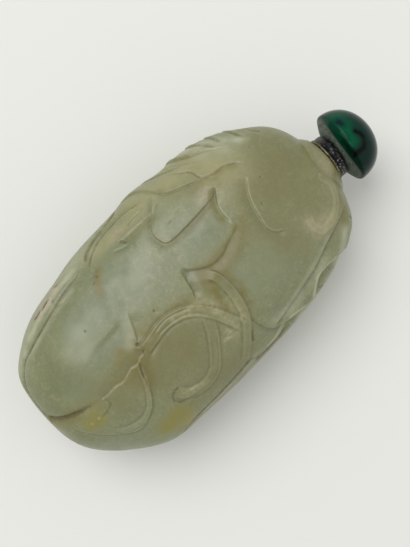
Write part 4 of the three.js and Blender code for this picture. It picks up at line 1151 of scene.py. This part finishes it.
METAL_LAYERS = [
    ("grey_end", "#4e4c44", 0.9, 0.5, 0.5),
    ("dull", "#3a362c", 0.9, 0.7, 0.4),
    ("lip", "#877c5e", 0.7, 0.4, 0.9),
]


def patinated_metal():
    """A collar of dark patinated metal, handled and worn: blue black, brown and grey toward
    its ends, pale tan along its lowest rim and pale grey in small specks."""
    material, tree = new_material("patinated_metal")
    place = add_node(tree, "ShaderNodeTexCoord").outputs["Object"]
    blotches = add_node(tree, "ShaderNodeTexNoise", {
        "Scale": per_metre(1.2), "Detail": 5, "Roughness": 0.7}, {"Vector": place})
    colour = mottled(tree, "#070a14", "#3a382f", blotches, 0.5, 0.68)
    colour = layered(tree, place, colour, METAL_LAYERS)
    specks = add_node(tree, "ShaderNodeTexNoise", {
        "Scale": per_metre(0.4), "Detail": 5, "Roughness": 0.75}, {"Vector": place})
    colour = mottled(tree, colour, "#b9bbb7", specks, 0.59, 0.68, 0.9)
    bump = add_node(tree, "ShaderNodeBump", {"Strength": 0.5, "Distance": 0.06 * MM},
                    {"Height": blotches.outputs["Fac"]})
    return as_surface(material, {"Metallic": 0.75, "Roughness": 0.4}, {
        "Base Color": colour, "Normal": bump.outputs["Normal"]})


GLASS_LAYERS = [
    # painted glow of light through the glass
    ("painted_glow", "#004f34", 1.0, 3.0, 0.3),
    ("cloud", "#041f22", 0.9, 0.9, 0.6),
    ("film", "#0b2b27", 0.35, 1.5, 0.5),
    ("shadow", "#010303", 1.2, 1.2, 0.3),
    # painted light line at the glow's lower edge
    ("painted_glow_streak", "#2f7f5e", 0.28, 0.6, 0.6),
    ("ground", "#4d564c", 0.95, 0.3, 0.15),
    ("scratched", "#868f82", 0.45, 0.25, 1.0),
]


def moulded_glass():
    """Dark green glass, moulded and polished: a rich gloss with dark clouds in it, a painted glow
    of light through the glass with a painted light line at its lower edge, and a painted shadow
    arc, grey where its underside was ground flat for the collar."""
    material, tree = new_material("moulded_green_glass")
    place = add_node(tree, "ShaderNodeTexCoord").outputs["Object"]
    depths = add_node(tree, "ShaderNodeTexNoise", {
        "Scale": per_metre(5), "Detail": 2, "Roughness": 0.5}, {"Vector": place})
    colour = mottled(tree, "#021511", "#032820", depths, 0.35, 0.65)
    colour = layered(tree, place, colour, GLASS_LAYERS)
    ground = add_node(tree, "ShaderNodeAttribute", {"attribute_name": "ground"}).outputs["Fac"]
    roughness = add_node(tree, "ShaderNodeMapRange", {"To Min": 0.1, "To Max": 0.5},
                         {"Value": ground})
    return as_surface(material, {"IOR": 1.5, "Specular IOR Level": 0.12}, {
        "Base Color": colour, "Roughness": roughness.outputs["Result"]})


def card():
    """Plain pale card: matt, with hardly any sheen."""
    return as_surface(new_material("pale_card")[0], {
        "Base Color": linear("#e4e5e0"), "Roughness": 0.9, "Specular IOR Level": 0.1})


def finish_piece(piece, material, node):
    if material.name not in piece.data.materials:
        piece.data.materials.append(material)
    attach(piece, "root")
    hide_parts(node)


metal = patinated_metal()
glass = moulded_glass()
finish_piece(bottle_piece(), polished_nephrite(), "bottle")
finish_piece(collar_piece(metal), metal, "stopper_collar")
finish_piece(cap_piece(glass), glass, "stopper_cabochon")

# ---------------------------------------------------------------- floor, light and camera
FLOOR_HALF = 1.5


def floor_piece():
    corners = [(-1, -1, 0), (1, -1, 0), (1, 1, 0), (-1, 1, 0)]
    mesh = bpy.data.meshes.new("floor")
    mesh.from_pydata([tuple(FLOOR_HALF * c for c in corner) for corner in corners], [], [(0, 1, 2, 3)])
    floor = bpy.data.objects.new("floor", mesh)
    bpy.context.collection.objects.link(floor)
    floor.data.materials.append(card())


def soft_light(name, place, size, watts, colour="#ffffff"):
    lamp = bpy.data.lights.new(name, "AREA")
    lamp.shape = "DISK"
    lamp.size = size
    lamp.energy = watts
    lamp.color = linear(colour)[:3]
    light = bpy.data.objects.new(name, lamp)
    light.location = place
    light.rotation_euler = (-Vector(place)).to_track_quat("-Z", "Y").to_euler()
    bpy.context.collection.objects.link(light)


def sky(strength, colour):
    world = bpy.data.worlds.new("pale_room")
    world.use_nodes = True
    background = world.node_tree.nodes["Background"]
    background.inputs["Color"].default_value = linear(colour)
    background.inputs["Strength"].default_value = strength
    bpy.context.scene.world = world


CAMERA_ELEVATION = 86.0
CAMERA_UP_TURN = 44.75
CAMERA_PLACE = Vector((-2.389, -7.173, 144.853)) * MM
CAMERA_LENS = 50.02


def camera_at_view():
    elevation = math.radians(CAMERA_ELEVATION)
    turn = math.radians(CAMERA_UP_TURN)
    level = Vector((math.cos(turn), math.sin(turn), 0))
    ahead = level * math.cos(elevation) - Vector((0, 0, 1)) * math.sin(elevation)
    up = level * math.sin(elevation) + Vector((0, 0, 1)) * math.cos(elevation)
    right = ahead.cross(up)
    camera = bpy.data.objects.new("camera", bpy.data.cameras.new("camera"))
    camera.data.lens = CAMERA_LENS
    camera.data.sensor_width = 36
    camera.data.clip_start = 0.001
    axes = Matrix((right, up, -ahead)).transposed()
    camera.matrix_world = Matrix.Translation(CAMERA_PLACE) @ axes.to_4x4()
    bpy.context.collection.objects.link(camera)
    bpy.context.scene.camera = camera


floor_piece()
soft_light("room", (0.3, -0.6, 0.4), 1.2, 0.7)
soft_light("window", (-0.06, 0.42, 0.80), 0.75, 4.1)
sky(0.69, "#f6f6f5")
camera_at_view()
bpy.context.scene.view_settings.view_transform = "Standard"
